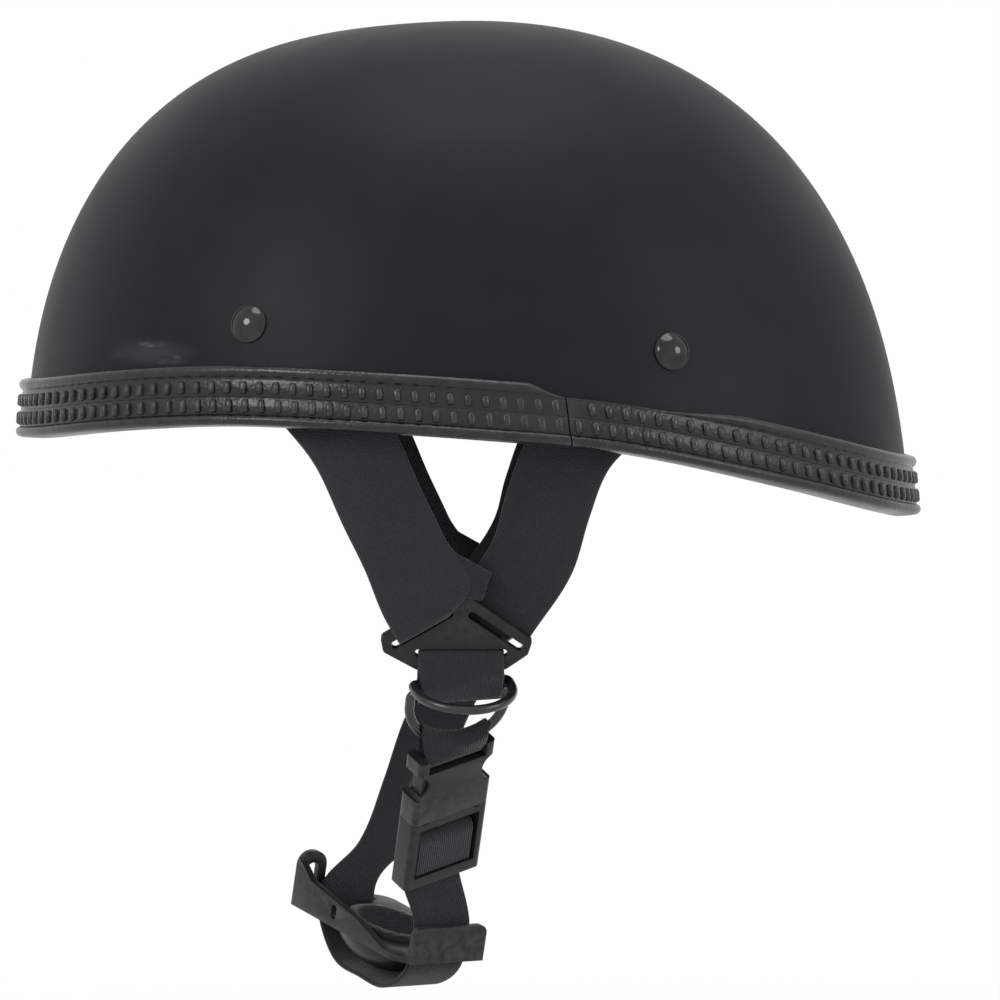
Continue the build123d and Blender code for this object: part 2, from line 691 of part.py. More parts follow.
# Chin cup and its pad
turn = radians(cup_turn)
tilt = radians(cup_tilt)
cup_x = Vector(sin(turn) * cos(tilt), -cos(turn) * cos(tilt), -sin(tilt))
cup_z = Vector(sin(turn) * sin(tilt), -cos(turn) * sin(tilt), cos(tilt))
cup_frame = Plane(Vector(*cup_centre), x_dir=cup_x, z_dir=cup_z)
parts["chin_cup"] = cup_frame.location * chin_cup()
parts["chin_cup_pad"] = cup_frame.location * chin_cup_pad()

# Chin strap from the plug, under the cup, to a stub at its far end
web_back = plug_bar_radius + soft_gap + loop_thickness / 2
plug_exit = buckle_frame.from_local_coords(Vector(0, web_back, -plug_height))
cup_entry = cup_frame.from_local_coords(Vector(strap_slot_x, 0, near_rise))
near_run = loft([
    section(plug_exit, chin_dir, buckle_axis, chin_web_width, loop_thickness),
    section(cup_entry, -cup_z, cup_frame.y_dir, chin_web_width, loop_thickness),
], ruled=True)
knee_x = bowl_half_length * strap_knee_share
knee_z = -bowl_depth - strap_to_bowl - loop_thickness / 2
bend_z = -flange_thickness - strap_to_bowl - loop_thickness / 2
under_points = (
    (strap_slot_x, near_rise), (strap_slot_x, bend_z), (knee_x, knee_z),
    (-knee_x, knee_z), (-strap_slot_x, bend_z), (-strap_slot_x, far_rise),
)
under_run = extrude(Plane.XZ * strip(under_points, loop_thickness), chin_web_width / 2, both=True)
parts["chin_strap"] = buckle_frame.location * plug_web() + near_run + cup_frame.location * under_run

# Far chin strap, folded round the foot bar of the right divider
far_hang = Plane((0, hang_half_gap, 0), x_dir=(1, 0, 0), z_dir=(0, -cos(lean), sin(lean)))
loop_low = divider_foot_y - soft_gap - far_loop_drop
far_rows = []
for high, low in ((loop_thickness / 2, 0), (-loop_thickness / 2, loop_thickness)):
    far_rows.append([
        (far_hang.from_local_coords(Vector(base_x, base_y + high, 0)), -far_hang.y_dir, level_x),
        (far_hang.from_local_coords(Vector(base_x, loop_low + low, 0)), -far_hang.y_dir, level_x),
    ])
far_loop = web_loop(*far_rows, chin_web_width, loop_hollow)
far_start = far_rows[0][1][0]
stub_top = cup_frame.from_local_coords(Vector(-strap_slot_x, 0, far_rise + far_strap_gap))
far_line = stub_top - far_start
bows = [far_start + far_line * down_share + level_x * (far_line.length * bow_share)
        for down_share, bow_share in far_strap_shares]
route = [far_start, *bows, stub_top]
sections = []
for index, point in enumerate(route):
    share = index / (len(route) - 1)
    width_axis = level_x * (1 - share) + cup_frame.y_dir * share
    if index == 0:
        along = -far_hang.y_dir
    elif index == len(route) - 1:
        along = -cup_z
    else:
        along = (route[index + 1] - route[index - 1]).normalized()
    sections.append(section(point, along, width_axis, chin_web_width, loop_thickness))
parts["far_chin_strap"] = far_loop + loft(sections, ruled=True)

os.makedirs("parts", exist_ok=True)
for name, shape in parts.items():
    export_step(shape, f"parts/{name}.step")

# Joint places, for the record
for label, value in (
    ("ring pivot", upper_bar), ("ring axis", ring_axis), ("release axis", chin_dir), ("seam", seam),
    ("front prong pivot", buckle_frame.from_local_coords(Vector(-prong_x(), 0, prong_pivot_z))),
    ("rear prong pivot", buckle_frame.from_local_coords(Vector(prong_x(), 0, prong_pivot_z))),
    ("prong axis", buckle_frame.y_dir), ("buckle axis", buckle_axis), ("cup x", cup_x), ("cup z", cup_z),
):
    print(label, [round(number, 5) for number in tuple(value)])
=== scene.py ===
"""Half shell motorcycle helmet: the looks of its shell, trim, webbing, buckle, chin cup and pads."""

import json
from math import atan2, ceil, cos, hypot, pi, radians, sin, sqrt

import bmesh
import bpy
from bpy.props import FloatProperty, FloatVectorProperty, IntProperty, PointerProperty
from mathutils import Matrix, Vector


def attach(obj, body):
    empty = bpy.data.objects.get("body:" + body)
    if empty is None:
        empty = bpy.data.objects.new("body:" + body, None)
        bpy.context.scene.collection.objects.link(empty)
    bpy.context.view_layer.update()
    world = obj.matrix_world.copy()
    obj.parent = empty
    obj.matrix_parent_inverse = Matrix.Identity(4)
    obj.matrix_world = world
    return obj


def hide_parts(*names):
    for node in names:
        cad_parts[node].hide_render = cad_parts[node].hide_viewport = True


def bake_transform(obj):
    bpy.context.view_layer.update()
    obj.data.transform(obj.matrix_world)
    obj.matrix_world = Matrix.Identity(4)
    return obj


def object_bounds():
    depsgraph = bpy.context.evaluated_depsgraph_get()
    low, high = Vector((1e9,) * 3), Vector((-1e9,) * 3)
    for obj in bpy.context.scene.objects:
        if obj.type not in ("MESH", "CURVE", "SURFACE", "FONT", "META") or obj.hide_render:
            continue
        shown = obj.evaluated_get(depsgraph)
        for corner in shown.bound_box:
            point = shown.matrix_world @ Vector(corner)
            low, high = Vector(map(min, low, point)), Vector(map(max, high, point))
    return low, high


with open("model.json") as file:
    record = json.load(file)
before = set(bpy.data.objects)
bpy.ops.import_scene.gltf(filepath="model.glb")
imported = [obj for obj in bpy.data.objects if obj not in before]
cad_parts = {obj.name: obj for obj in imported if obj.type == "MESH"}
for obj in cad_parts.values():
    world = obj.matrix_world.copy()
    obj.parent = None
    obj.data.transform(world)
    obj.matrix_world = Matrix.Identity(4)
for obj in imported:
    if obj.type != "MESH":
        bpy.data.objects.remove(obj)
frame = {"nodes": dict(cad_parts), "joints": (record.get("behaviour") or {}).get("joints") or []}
cad_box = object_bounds()

bl_info = {
    "name": "Half shell helmet",
    "version": (1, 0, 0),
    "blender": (4, 5, 0),
    "location": "View3D > Sidebar > Helmet",
    "description": "Builds a half shell motorcycle helmet round its fixed frame",
    "category": "Add Mesh",
}

mm = 0.001

# Shell: an egg cut by a wavy rim
shell_front_reach = 121.2 * mm
shell_rear_reach = 140.7 * mm
shell_half_width = 109.0 * mm
shell_crown = 155.1 * mm
shell_wall = 4.0 * mm
shell_edge_rise = 0.4 * mm
shell_centre = Vector((-9.2, 0, -31.3)) * mm
shell_tilt = radians(-5.1)
crown_power = 2.43
rim_fall = 28.0 * mm
rim_shares = (
    (-1.10, 0.06), (-0.93, 0.11), (-0.72, 0.23), (-0.52, 0.29), (-0.18, 0.23),
    (0.03, 0.16), (0.30, 0.03), (0.63, -0.32), (0.90, -0.68), (1.10, -0.93),
)
tilted = Matrix.Rotation(shell_tilt, 3, "Y")
lowest_angle = -0.2
angle_halvings = 26

# The pale rub on the paint, low on the front left
rub_mark_x, rub_mark_z = -91.0 * mm, 26.7 * mm
rub_mark_length, rub_mark_height = 9.0 * mm, 2.8 * mm
rub_mark_side = (20.0 * mm, 50.0 * mm)

# Edge trim: places across it, as distance out from the shell's face and rise above the rim
trim_face_outline = (
    (0.15, 14.6), (0.9, 14.9), (1.9, 14.9), (2.8, 14.5), (3.25, 13.7), (3.2, 12.9), (2.75, 12.1),
    (2.2, 11.7), (1.95, 11.3),
)
trim_wall_outline = (
    (2.1, 10.6), (2.2, 6.4), (2.0, 6.1), (2.2, 5.8), (2.2, 1.4), (2.05, 1.1), (2.45, 0.8), (3.0, 0.4),
    (3.2, -0.3), (3.05, -1.1), (2.5, -1.7), (1.6, -2.0), (-1.0, -2.1), (-3.8, -2.0), (-4.9, -1.5),
    (-5.35, -0.5), (-5.4, 0.6), (-5.35, 8.2), (-5.1, 8.9), (-4.6, 9.1), (-4.2, 8.8), (-4.15, 0.1),
    (0.12, 0.1),
)
trim_bead_foot = 11.0
trim_bead_out = 2.0
trim_joint_x = 29.0 * mm
trim_joint_gap = 0.4 * mm
trim_rise_step = 7.5 * mm
trim_face_out = 2.15 * mm
rim_search_steps = 1800
rim_search_turn = radians(0.1)
rim_fine_steps = 1440

# The top bead dies towards the joint, and so do the dashes left of it
bead_rise_left = 11.0 * mm
bead_flat_right = 26.0 * mm
bead_rise_right = 34.0 * mm
bead_flat_share = 0.12
emboss_fade = 48.0 * mm
emboss_least_share = 0.3

# Rows of dashes: rise above the rim, length and shift along it
dash_rows = ((8.6 * mm, 4.3 * mm, 0.5 * mm), (3.45 * mm, 4.6 * mm, 0.0))
dash_edge = 0.32 * mm
dash_top_share = 0.72
dash_right_share = 0.9

# Rivets: the lip is in shares of the head's radius and rise in mm, the tail in radius and rise in mm
rivet_x = (-62.4 * mm, 58.2 * mm)
rivet_z = (35.1 * mm, 27.2 * mm)
rivet_head_radius = 5.5 * mm
rivet_head_height = 2.6 * mm
rivet_dome_share = 0.93
rivet_dome_steps = 12
rivet_lip_outline = ((1.0, 0.32), (1.0, 0.14), (0.97, 0.0))
rivet_tail_outline = ((3.1, 0.9), (3.4, 0.6), (3.2, 0.2), (2.4, 0.0), (0.0, 0.0))
rivet_tail_reach = 2.25 * mm
rivet_shank_radius = 2.2 * mm
rivet_seat = 0.15 * mm
washer_radius = 5.2 * mm
washer_thickness = 0.9 * mm
washer_chamfer = 0.2 * mm

# Webbing of the Y straps
web_width = 25.0 * mm
web_thickness = 1.5 * mm
web_edge_angles = (50, 0, -50)
strap_past_rivet = 9.0 * mm
strap_clamp = 6.5 * mm
strap_depth_at_rivet = 6.4 * mm
strap_depth_at_trim = 7.5 * mm
strap_offset = 2.35 * mm
hang_half_gap = 95.0 * mm
hang_lean = radians(18.7)
leg_bend_share = 0.58

# Places in the Y strap's plane, as shares of the web's width
front_leg_shares = ((-1.34, 0.12), (-0.952, -0.756), (-0.732, -1.24), (-0.46, -1.94))
rear_leg_shares = ((1.2, -0.02), (0.912, -0.756), (0.76, -1.32), (0.284, -2.108))
front_slot_shares = ((-0.216, -2.024), (-0.836, -2.4))
crotch_shares = ((-0.344, -1.14), (0.272, -1.5), (0.16, -1.84), (-0.24, -1.76))
back_web_shares = (
    (0.0, -1.86), (0.52, -2.248), (0.32, -2.424), (-0.78, -2.424), (-0.808, -2.36), (-0.26, -2.016),
)
base_place_shares = (-0.08, -2.5)
divider_foot_share = -2.704
patch_drop = 0.3 * mm
patch_edge = 0.35 * mm

# The front leg's way through the divider's slot, from the slot's middle
slot_web_share = 0.44
slot_turn_share = 0.8
slot_above = (0.6 * mm, 1.4 * mm)
slot_depths = (0.9 * mm, -1.0 * mm)
slot_behind = (3.0 * mm, -0.6 * mm)

# Loops, rings and buckle
loop_thickness = 1.4 * mm
loop_hollow = 3.4 * mm
soft_gap = 0.3 * mm
ring_wire = 2.8 * mm
ring_radius = 14.3 * mm
ring_leg = 3.7 * mm
ring_spacing = 3.4 * mm
ring_play = 0.15 * mm
ring_corner = 1.6 * mm
upper_ring_angle = radians(101.0)
chin_web_width = 20.0 * mm
buckle_loop_hollow = 3.4 * mm
ring_to_socket = 0.6 * mm
socket_bar_radius = 1.3 * mm
arc_follow_share = 0.95
plug_height = 24.0 * mm
plug_bar_radius = 1.5 * mm
plug_bar_drop = 9.3 * mm
plug_foot_height = 3.6 * mm
prong_seam_gap = 1.2 * mm
divider_edge_share = 1.2

# Chin cup and the straps that carry it
cup_centre = Vector((-23.0, -3.0, -144.5)) * mm
cup_turn = radians(36.0)
cup_tilt = radians(14.0)
cup_slot_x = 24.5 * mm
cup_knee_x = 12.0 * mm
cup_knee_z = -14.3 * mm
cup_bend_z = -3.3 * mm
cup_bend_in = 0.8 * mm
cup_slot_rise = 0.5 * mm
cup_web_drop = 0.6 * mm
tail_past_bar = 2.0 * mm
run_past_bar = 5.0 * mm
chin_step = 1.5 * mm
near_rise = 7.0 * mm
far_rise = 4.5 * mm
far_slot_end = 2.6 * mm
far_loop_drop = 3.0 * mm
far_tail = 9.0 * mm
far_face_out = 0.5 * mm
far_lap_shares = (1.05, 1.2)
far_strap_shares = ((0.13, 0.012), (0.31, 0.017), (0.54, 0.041), (0.81, 0.055))

# Pads: how they swell, and the finer mesh of the cup's lining
pad_inset = 1.0 * mm
swell_frames = 20
swell_quality = 5
swell_tension = 20
swell_bending = 2
lining_voxel = 1.0 * mm
lining_inset = 0.4 * mm
lining_cap = 0.6 * mm
lining_mouth_rise = 6.0 * mm
liner_edge = 1.2 * mm

# The floor leaves room for the chin strap to slide out of the buckle, and fades to white round it
floor_drop = 32.0 * mm
floor_radius = 6.0
floor_glow = 0.3
floor_grey = (0.8, 0.8, 0.8, 1)
floor_fade = (0.2, 0.42)
sensor_width = 36

joints = {joint["name"]: joint for joint in frame["joints"]}


# Outlines and paths

def slope_at(points, knots, index):
    """Slope of a smooth curve at one of its points, from the points beside it."""
    before, after = max(index - 1, 0), min(index + 1, len(points) - 1)
    if index in (before, after):
        return (points[after] - points[before]) / (knots[after] - knots[before])
    near, far = knots[index] - knots[before], knots[after] - knots[index]
    first = (points[index] - points[before]) / near
    second = (points[after] - points[index]) / far
    return (first * far + second * near) / (near + far)


def point_between(points, knots, index, t):
    """A point of the smooth curve, a share of the way from one point to the next."""
    span = knots[index + 1] - knots[index]
    return (
        points[index] * (2 * t ** 3 - 3 * t ** 2 + 1)
        + slope_at(points, knots, index) * (span * (t ** 3 - 2 * t ** 2 + t))
        + points[index + 1] * (3 * t ** 2 - 2 * t ** 3)
        + slope_at(points, knots, index + 1) * (span * (t ** 3 - t ** 2))
    )


def smooth(points, knots, step_length):
    """Points on a smooth curve through the given ones, near one step apart."""
    made = []
    for index in range(len(points) - 1):
        steps = max(2, ceil((knots[index + 1] - knots[index]) / step_length))
        made += [point_between(points, knots, index, step / steps) for step in range(steps)]
    return made + [points[-1]]


def lengths_along(points):
    """Length of the path up to each of its points."""
    total = [0.0]
    for start, end in zip(points, points[1:]):
        total.append(total[-1] + (end - start).length)
    return total


def smooth_rows(controls, step_length=2 * mm):
    """Rows of a web, each its centre and the way to its edge, smoothed through the control rows."""
    centres = [Vector(centre) for centre, _ in controls]
    edges = [Vector(edge) for _, edge in controls]
    knots = lengths_along(centres)
    return list(zip(smooth(centres, knots, step_length), smooth(edges, knots, step_length)))


def web_outline(width, thickness, across=8):
    """Cross section of a web: two flat faces and round edges, as places across it and out of it."""
    half = thickness / 2
    flat = width / 2 - half
    face = [(flat * (2 * step / across - 1), half) for step in range(across + 1)]
    turn = [(flat + half * cos(radians(a)), half * sin(radians(a))) for a in web_edge_angles]
    return face + turn + [(-x, -y) for x, y in face] + [(-x, -y) for x, y in turn]


def tube(bm, rows, across, along, closed=False):
    """A skin through rows of points, shaped from a flat grid, with its UVs in metres."""
    columns = len(rows[0])
    made = bmesh.ops.create_grid(bm, x_segments=columns, y_segments=len(rows) - 1, size=1)["verts"]
    made = sorted(made, key=lambda v: (round(v.co.y, 5), round(v.co.x, 5)))
    uv = bm.loops.layers.uv.verify()
    place = {}
    for index, vert in enumerate(made):
        row, column = divmod(index, columns + 1)
        vert.co = rows[row][column % columns]
        place[vert] = (across[column], along[row])
    for face in {face for vert in made for face in vert.link_faces}:
        for loop in face.loops:
            loop[uv].uv = place[loop.vert]
    bmesh.ops.remove_doubles(bm, verts=made, dist=1e-6)
    if not closed:
        rim = [edge for edge in bm.edges if edge.is_boundary]
        bmesh.ops.holes_fill(bm, edges=rim, sides=0)


def web(bm, rows, width, thickness, closed=False, curve=None):
    """A flat web of one width and thickness along its rows. curve bends it across its width."""
    outline = web_outline(width, thickness)
    centres = [centre for centre, _ in rows]
    last = len(rows) - 1
    skins = []
    for index, (centre, edge) in enumerate(rows):
        before, after = max(index - 1, 0), min(index + 1, last)
        if closed and index in (0, last):
            before, after = last - 1, 1
        run = centres[after] - centres[before]
        out = run.cross(edge).normalized()
        skins.append([
            centre + edge * (2 * x / width) + out * y + (curve(index, x) if curve else Vector())
            for x, y in outline
        ])
    across = [x for x, _ in outline] + [outline[0][0]]
    tube(bm, skins, across, lengths_along(centres), closed)


def folded(medial, radius, steps=8):
    """Closed path of a web folded round two bars, from rows of centre, direction and edge."""
    first, last = medial[0], medial[-1]
    front = [(c + d.cross(e).normalized() * radius, e) for c, d, e in medial]
    back = [(c - d.cross(e).normalized() * radius, e) for c, d, e in reversed(medial)]
    turns = []
    for (centre, way, edge), sign in ((last, 1), (first, -1)):
        out = way.cross(edge).normalized() * sign
        ahead = way * sign * radius
        arc = [(step + 1) * pi / (steps + 1) for step in range(steps)]
        turns.append([(centre + out * radius * cos(a) + ahead * sin(a), edge) for a in arc])
    path = front + turns[0] + back + turns[1]
    return path + path[:1]


# Pieces

def piece(bm, name, material, body, slot, *nodes, sharp=38):
    """Makes an object of a mesh, gives it its finish and fixes it to its body."""
    bmesh.ops.recalc_face_normals(bm, faces=bm.faces)
    mesh = bpy.data.meshes.new(name)
    bm.to_mesh(mesh)
    bm.free()
    mesh.shade_smooth()
    mesh.set_sharp_from_angle(angle=radians(sharp))
    obj = bpy.data.objects.new(name, mesh)
    bpy.context.scene.collection.objects.link(obj)
    mesh.materials.append(material)
    if nodes:
        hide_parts(*nodes)
    if body:
        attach(obj, body)
    return obj


def copied(node):
    """The merged mesh of a CAD node, to work on as a piece of its own."""
    bm = bmesh.new()
    bm.from_mesh(frame["nodes"][node].data)
    bmesh.ops.remove_doubles(bm, verts=bm.verts, dist=2e-6)
    return bm


def softened(node, radius, segments=2, flat=1.0, sharp=28):
    """A CAD node's shape with its sharp edges rounded."""
    bm = copied(node)
    bmesh.ops.dissolve_limit(bm, angle_limit=radians(flat), verts=bm.verts, edges=bm.edges)
    edges = [e for e in bm.edges if len(e.link_faces) == 2 and e.calc_face_angle() > radians(sharp)]
    bmesh.ops.bevel(
        bm, geom=edges, offset=radius, offset_type="OFFSET", segments=segments, profile=0.5,
        affect="EDGES", clamp_overlap=True, material=-1,
    )
    bmesh.ops.triangulate(bm, faces=[f for f in bm.faces if len(f.verts) > 4])
    return bm


def mirrored(bm):
    """The same mesh on the wearer's other side."""
    other = bm.copy()
    bmesh.ops.scale(other, vec=(1, -1, 1), verts=other.verts)
    bmesh.ops.reverse_faces(other, faces=other.faces)
    return other


# Shell surface

def rim_height(x):
    """Height of the rim line at a place along the helmet."""
    along = [share * shell_rear_reach for share, _ in rim_shares]
    heights = [share * rim_fall for _, share in rim_shares]
    index = max(i for i in range(len(along) - 1) if along[i] <= x or i == 0)
    return point_between(heights, along, index, (x - along[index]) / (along[index + 1] - along[index]))


def shell_place(plan, angle, offset=0.0):
    """A point of the egg, from an angle round it and one up it. Below nought the wall is upright."""
    power = 2 / crown_power
    across = cos(angle) ** power if angle > 0 else 1.0
    height = sin(angle) ** power if angle > 0 else angle
    reach = shell_rear_reach if cos(plan) > 0 else shell_front_reach
    local = Vector((
        (reach + offset) * cos(plan) * across,
        (shell_half_width + offset) * sin(plan) * across,
        (shell_crown + offset) * height,
    ))
    return shell_centre + tilted @ local


def angle_at_rise(plan, rise):
    """How far up the egg a line parallel to the rim lies, at an angle round it."""
    low, high = lowest_angle, pi / 2
    for _ in range(angle_halvings):
        middle = (low + high) / 2
        point = shell_place(plan, middle)
        if point.z - rim_height(point.x) < rise:
            low = middle
        else:
            high = middle
    return (low + high) / 2


def shell_point(x, z, side, depth):
    """A point under the shell's outer face, and the outward normal there."""
    local = tilted.inverted() @ (Vector((x, 0, z)) - Vector((shell_centre.x, 0, shell_centre.z)))
    reach = shell_rear_reach if local.x > 0 else shell_front_reach
    share = (1 - (local.z / shell_crown) ** crown_power) ** (1 / crown_power)
    y = side * shell_half_width * sqrt(share ** 2 - (local.x / reach) ** 2)
    rise = (local.z / shell_crown) ** (crown_power - 1) * share ** (2 - crown_power) / shell_crown
    steep = Vector((local.x / reach ** 2, y / shell_half_width ** 2, rise)).normalized()
    normal = tilted @ steep
    return Vector((x, y, z)) - normal * depth, normal


def facing(place, normal):
    """A place with its own z along a normal."""
    return Matrix.Translation(place) @ normal.to_track_quat("Z", "Y").to_matrix().to_4x4()


def axes(origin, x_axis, z_axis):
    """A place with its own x and z along two axes."""
    x_axis, z_axis = x_axis.normalized(), z_axis.normalized()
    turned = Matrix((x_axis, z_axis.cross(x_axis), z_axis)).transposed().to_4x4()
    return Matrix.Translation(origin) @ turned


# Places of the straps and the hardware
hang = axes(
    Vector((0, -hang_half_gap, 0)), Vector((1, 0, 0)), Vector((0, -cos(hang_lean), -sin(hang_lean))),
)
far_hang = axes(
    Vector((0, hang_half_gap, 0)), Vector((1, 0, 0)), Vector((0, -cos(hang_lean), sin(hang_lean))),
)
base_x, base_y = (share * web_width for share in base_place_shares)
foot_y = divider_foot_share * web_width
chin_dir = Vector(joints["buckle_release"]["axis"]).normalized()
ring_axis = Vector(joints["upper_ring_swing"]["axis"]).normalized()
upper_bar = Vector(joints["upper_ring_swing"]["pos_m"])
lower_bar = upper_bar + chin_dir * ring_spacing
front_pivot = Vector(joints["front_prong_squeeze"]["pos_m"])
rear_pivot = Vector(joints["rear_prong_squeeze"]["pos_m"])
buckle_axis = (rear_pivot - front_pivot).normalized()
seam = (front_pivot + rear_pivot) / 2 + chin_dir * prong_seam_gap
buckle_place = axes(seam, buckle_axis, -chin_dir)
cup_x = Vector((sin(cup_turn) * cos(cup_tilt), -cos(cup_turn) * cos(cup_tilt), -sin(cup_tilt)))
cup_z = Vector((sin(cup_turn) * sin(cup_tilt), -cos(cup_turn) * sin(cup_tilt), cos(cup_tilt)))
cup_place = axes(cup_centre, cup_x, cup_z)
cup_y = cup_z.cross(cup_x)
level_x = Vector((1, 0, 0))


# Shared effects

def add_node(tree, kind, inputs=None, **settings):
    """A shader node with its settings, and its inputs linked or set."""
    made = tree.nodes.new(kind)
    for name, value in settings.items():
        setattr(made, name, value)
    for name, value in (inputs or {}).items():
        if isinstance(value, bpy.types.NodeSocket):
            tree.links.new(value, made.inputs[name])
        else:
            made.inputs[name].default_value = value
    return made


def calc(tree, operation, first, second=0.0):
    """The result of a Math node."""
    return add_node(tree, "ShaderNodeMath", {0: first, 1: second}, operation=operation).outputs[0]


def graded(tree, value, low, high):
    """A value stretched from a range to 0 and 1, and held there."""
    inputs = {"Value": value, "From Min": low, "From Max": high}
    return add_node(tree, "ShaderNodeMapRange", inputs, clamp=True).outputs[0]


def effect(name, inputs, outputs):
    """An empty node group with named inputs and outputs, and its two end nodes."""
    tree = bpy.data.node_groups.new(name, "ShaderNodeTree")
    for label, default in inputs:
        socket = tree.interface.new_socket(name=label, in_out="INPUT", socket_type="NodeSocketFloat")
        socket.default_value = default
    for label in outputs:
        tree.interface.new_socket(name=label, in_out="OUTPUT", socket_type="NodeSocketFloat")
    return tree, tree.nodes.new("NodeGroupInput"), tree.nodes.new("NodeGroupOutput")


def grain_effect():
    """Fine moulded or leather grain: small cells broken up by noise."""
    tree, start, end = effect("Fine grain", [("Scale", 900.0), ("Softness", 0.5)], ["Height", "Mottle"])
    place = tree.nodes.new("ShaderNodeTexCoord").outputs["Object"]
    cells = add_node(tree, "ShaderNodeTexVoronoi", {"Vector": place, "Scale": start.outputs["Scale"]})
    fine = add_node(
        tree, "ShaderNodeTexNoise", {"Vector": place, "Scale": start.outputs["Scale"], "Detail": 4.0},
    )
    slow_scale = calc(tree, "MULTIPLY", start.outputs["Scale"], 0.06)
    slow = add_node(tree, "ShaderNodeTexNoise", {"Vector": place, "Scale": slow_scale, "Detail": 5.0})
    rough = calc(tree, "MULTIPLY", cells.outputs["Distance"], start.outputs["Softness"])
    tree.links.new(calc(tree, "ADD", rough, fine.outputs["Fac"]), end.inputs["Height"])
    tree.links.new(graded(tree, slow.outputs["Fac"], 0.35, 0.7), end.inputs["Mottle"])
    return tree


def weave_effect():
    """Woven webbing on the piece's UVs: ribs along it, crossed by picks that step from rib to rib."""
    names = [("Rib pitch", 0.0011), ("Pick pitch", 0.0016)]
    tree, start, end = effect("Web weave", names, ["Height", "Thread", "Selvage"])
    uv = tree.nodes.new("ShaderNodeTexCoord").outputs["UV"]
    parts = add_node(tree, "ShaderNodeSeparateXYZ", {"Vector": uv})
    rib = calc(tree, "DIVIDE", parts.outputs["X"], start.outputs["Rib pitch"])
    rib_number = calc(tree, "FLOOR", rib)
    step = calc(tree, "MULTIPLY", rib_number, 0.5)
    pick = calc(tree, "ADD", calc(tree, "DIVIDE", parts.outputs["Y"], start.outputs["Pick pitch"]), step)
    rib_wave = calc(tree, "SINE", calc(tree, "MULTIPLY", calc(tree, "FRACT", rib), pi))
    pick_wave = calc(tree, "SINE", calc(tree, "MULTIPLY", calc(tree, "FRACT", pick), pi))
    knuckle = calc(tree, "ADD", calc(tree, "MULTIPLY", pick_wave, 0.55), 0.45)
    tree.links.new(calc(tree, "MULTIPLY", rib_wave, knuckle), end.inputs["Height"])
    yarn = add_node(tree, "ShaderNodeCombineXYZ", {"X": rib_number, "Y": calc(tree, "FLOOR", pick)})
    tint = add_node(tree, "ShaderNodeTexWhiteNoise", {"Vector": yarn.outputs[0]}, noise_dimensions="3D")
    tree.links.new(tint.outputs["Value"], end.inputs["Thread"])
    edge = calc(tree, "ABSOLUTE", parts.outputs["X"])
    tree.links.new(graded(tree, edge, low=8.8 * mm, high=12.2 * mm), end.inputs["Selvage"])
    return tree


def wear_and_highlight_effect():
    """Convex edges, broken up by noise: where edges are rubbed, and where a painted highlight catches
    the edges.
    """
    tree, start, end = effect("Edge wear", [("Reach", 0.06), ("Break up", 350.0)], ["Mask"])
    place = tree.nodes.new("ShaderNodeTexCoord").outputs["Object"]
    point = tree.nodes.new("ShaderNodeNewGeometry").outputs["Pointiness"]
    noise = add_node(
        tree, "ShaderNodeTexNoise", {"Vector": place, "Scale": start.outputs["Break up"], "Detail": 6.0},
    )
    top = calc(tree, "ADD", start.outputs["Reach"], 0.5)
    edge = add_node(
        tree, "ShaderNodeMapRange", {"Value": point, "From Min": 0.505, "From Max": top}, clamp=True,
    )
    broken = graded(tree, noise.outputs["Fac"], 0.32, 0.62)
    tree.links.new(calc(tree, "MULTIPLY", edge.outputs[0], broken), end.inputs["Mask"])
    return tree


def marks_effect():
    """Handling marks: soft smudges and thin rubs, for roughness and dust."""
    tree, start, end = effect("Handling marks", [("Scale", 22.0)], ["Smudge", "Rub"])
    place = tree.nodes.new("ShaderNodeTexCoord").outputs["Object"]
    smudge = add_node(
        tree, "ShaderNodeTexNoise",
        {"Vector": place, "Scale": start.outputs["Scale"], "Detail": 6.0, "Distortion": 0.8},
    )
    stretch = add_node(tree, "ShaderNodeMapping", {"Vector": place, "Scale": (0.25, 1.0, 2.4)})
    rub_scale = calc(tree, "MULTIPLY", start.outputs["Scale"], 9.0)
    rub = add_node(
        tree, "ShaderNodeTexNoise", {"Vector": stretch.outputs[0], "Scale": rub_scale, "Detail": 7.0},
    )
    tree.links.new(graded(tree, smudge.outputs["Fac"], 0.42, 0.68), end.inputs["Smudge"])
    tree.links.new(graded(tree, rub.outputs["Fac"], 0.58, 0.72), end.inputs["Rub"])
    return tree


effects = {}


def use_effect(tree, name, **values):
    """A shared effect placed in a material with its own values."""
    makers = {"grain": grain_effect, "weave": weave_effect, "wear_and_highlight": wear_and_highlight_effect, "marks": marks_effect}
    if name not in effects:
        effects[name] = makers[name]()
    made = tree.nodes.new("ShaderNodeGroup")
    made.node_tree = effects[name]
    for label, value in values.items():
        made.inputs[label.replace("_", " ")].default_value = value
    return made.outputs


# Finishes

def finish(name, **constants):
    """A new material, with its shader's constant values set."""
    made = bpy.data.materials.new(name)
    made.use_nodes = True
    shader = made.node_tree.nodes["Principled BSDF"]
    for label, value in constants.items():
        shader.inputs[label.replace("_", " ")].default_value = value
    return made, made.node_tree, shader


def colour_between(tree, mask, first, second):
    """A colour that goes from the first to the second with a mask."""
    mixed = add_node(tree, "ShaderNodeMix", {"Factor": mask}, data_type="RGBA")
    mixed.inputs["A"].default_value = (*first, 1)
    mixed.inputs["B"].default_value = (*second, 1)
    return mixed.outputs["Result"]


def colour_on(tree, mask, under, over):
    """A set colour laid over what a socket gives, by a mask."""
    mixed = add_node(tree, "ShaderNodeMix", {"Factor": mask}, data_type="RGBA")
    tree.links.new(under, mixed.inputs["A"])
    mixed.inputs["B"].default_value = (*over, 1)
    return mixed.outputs["Result"]


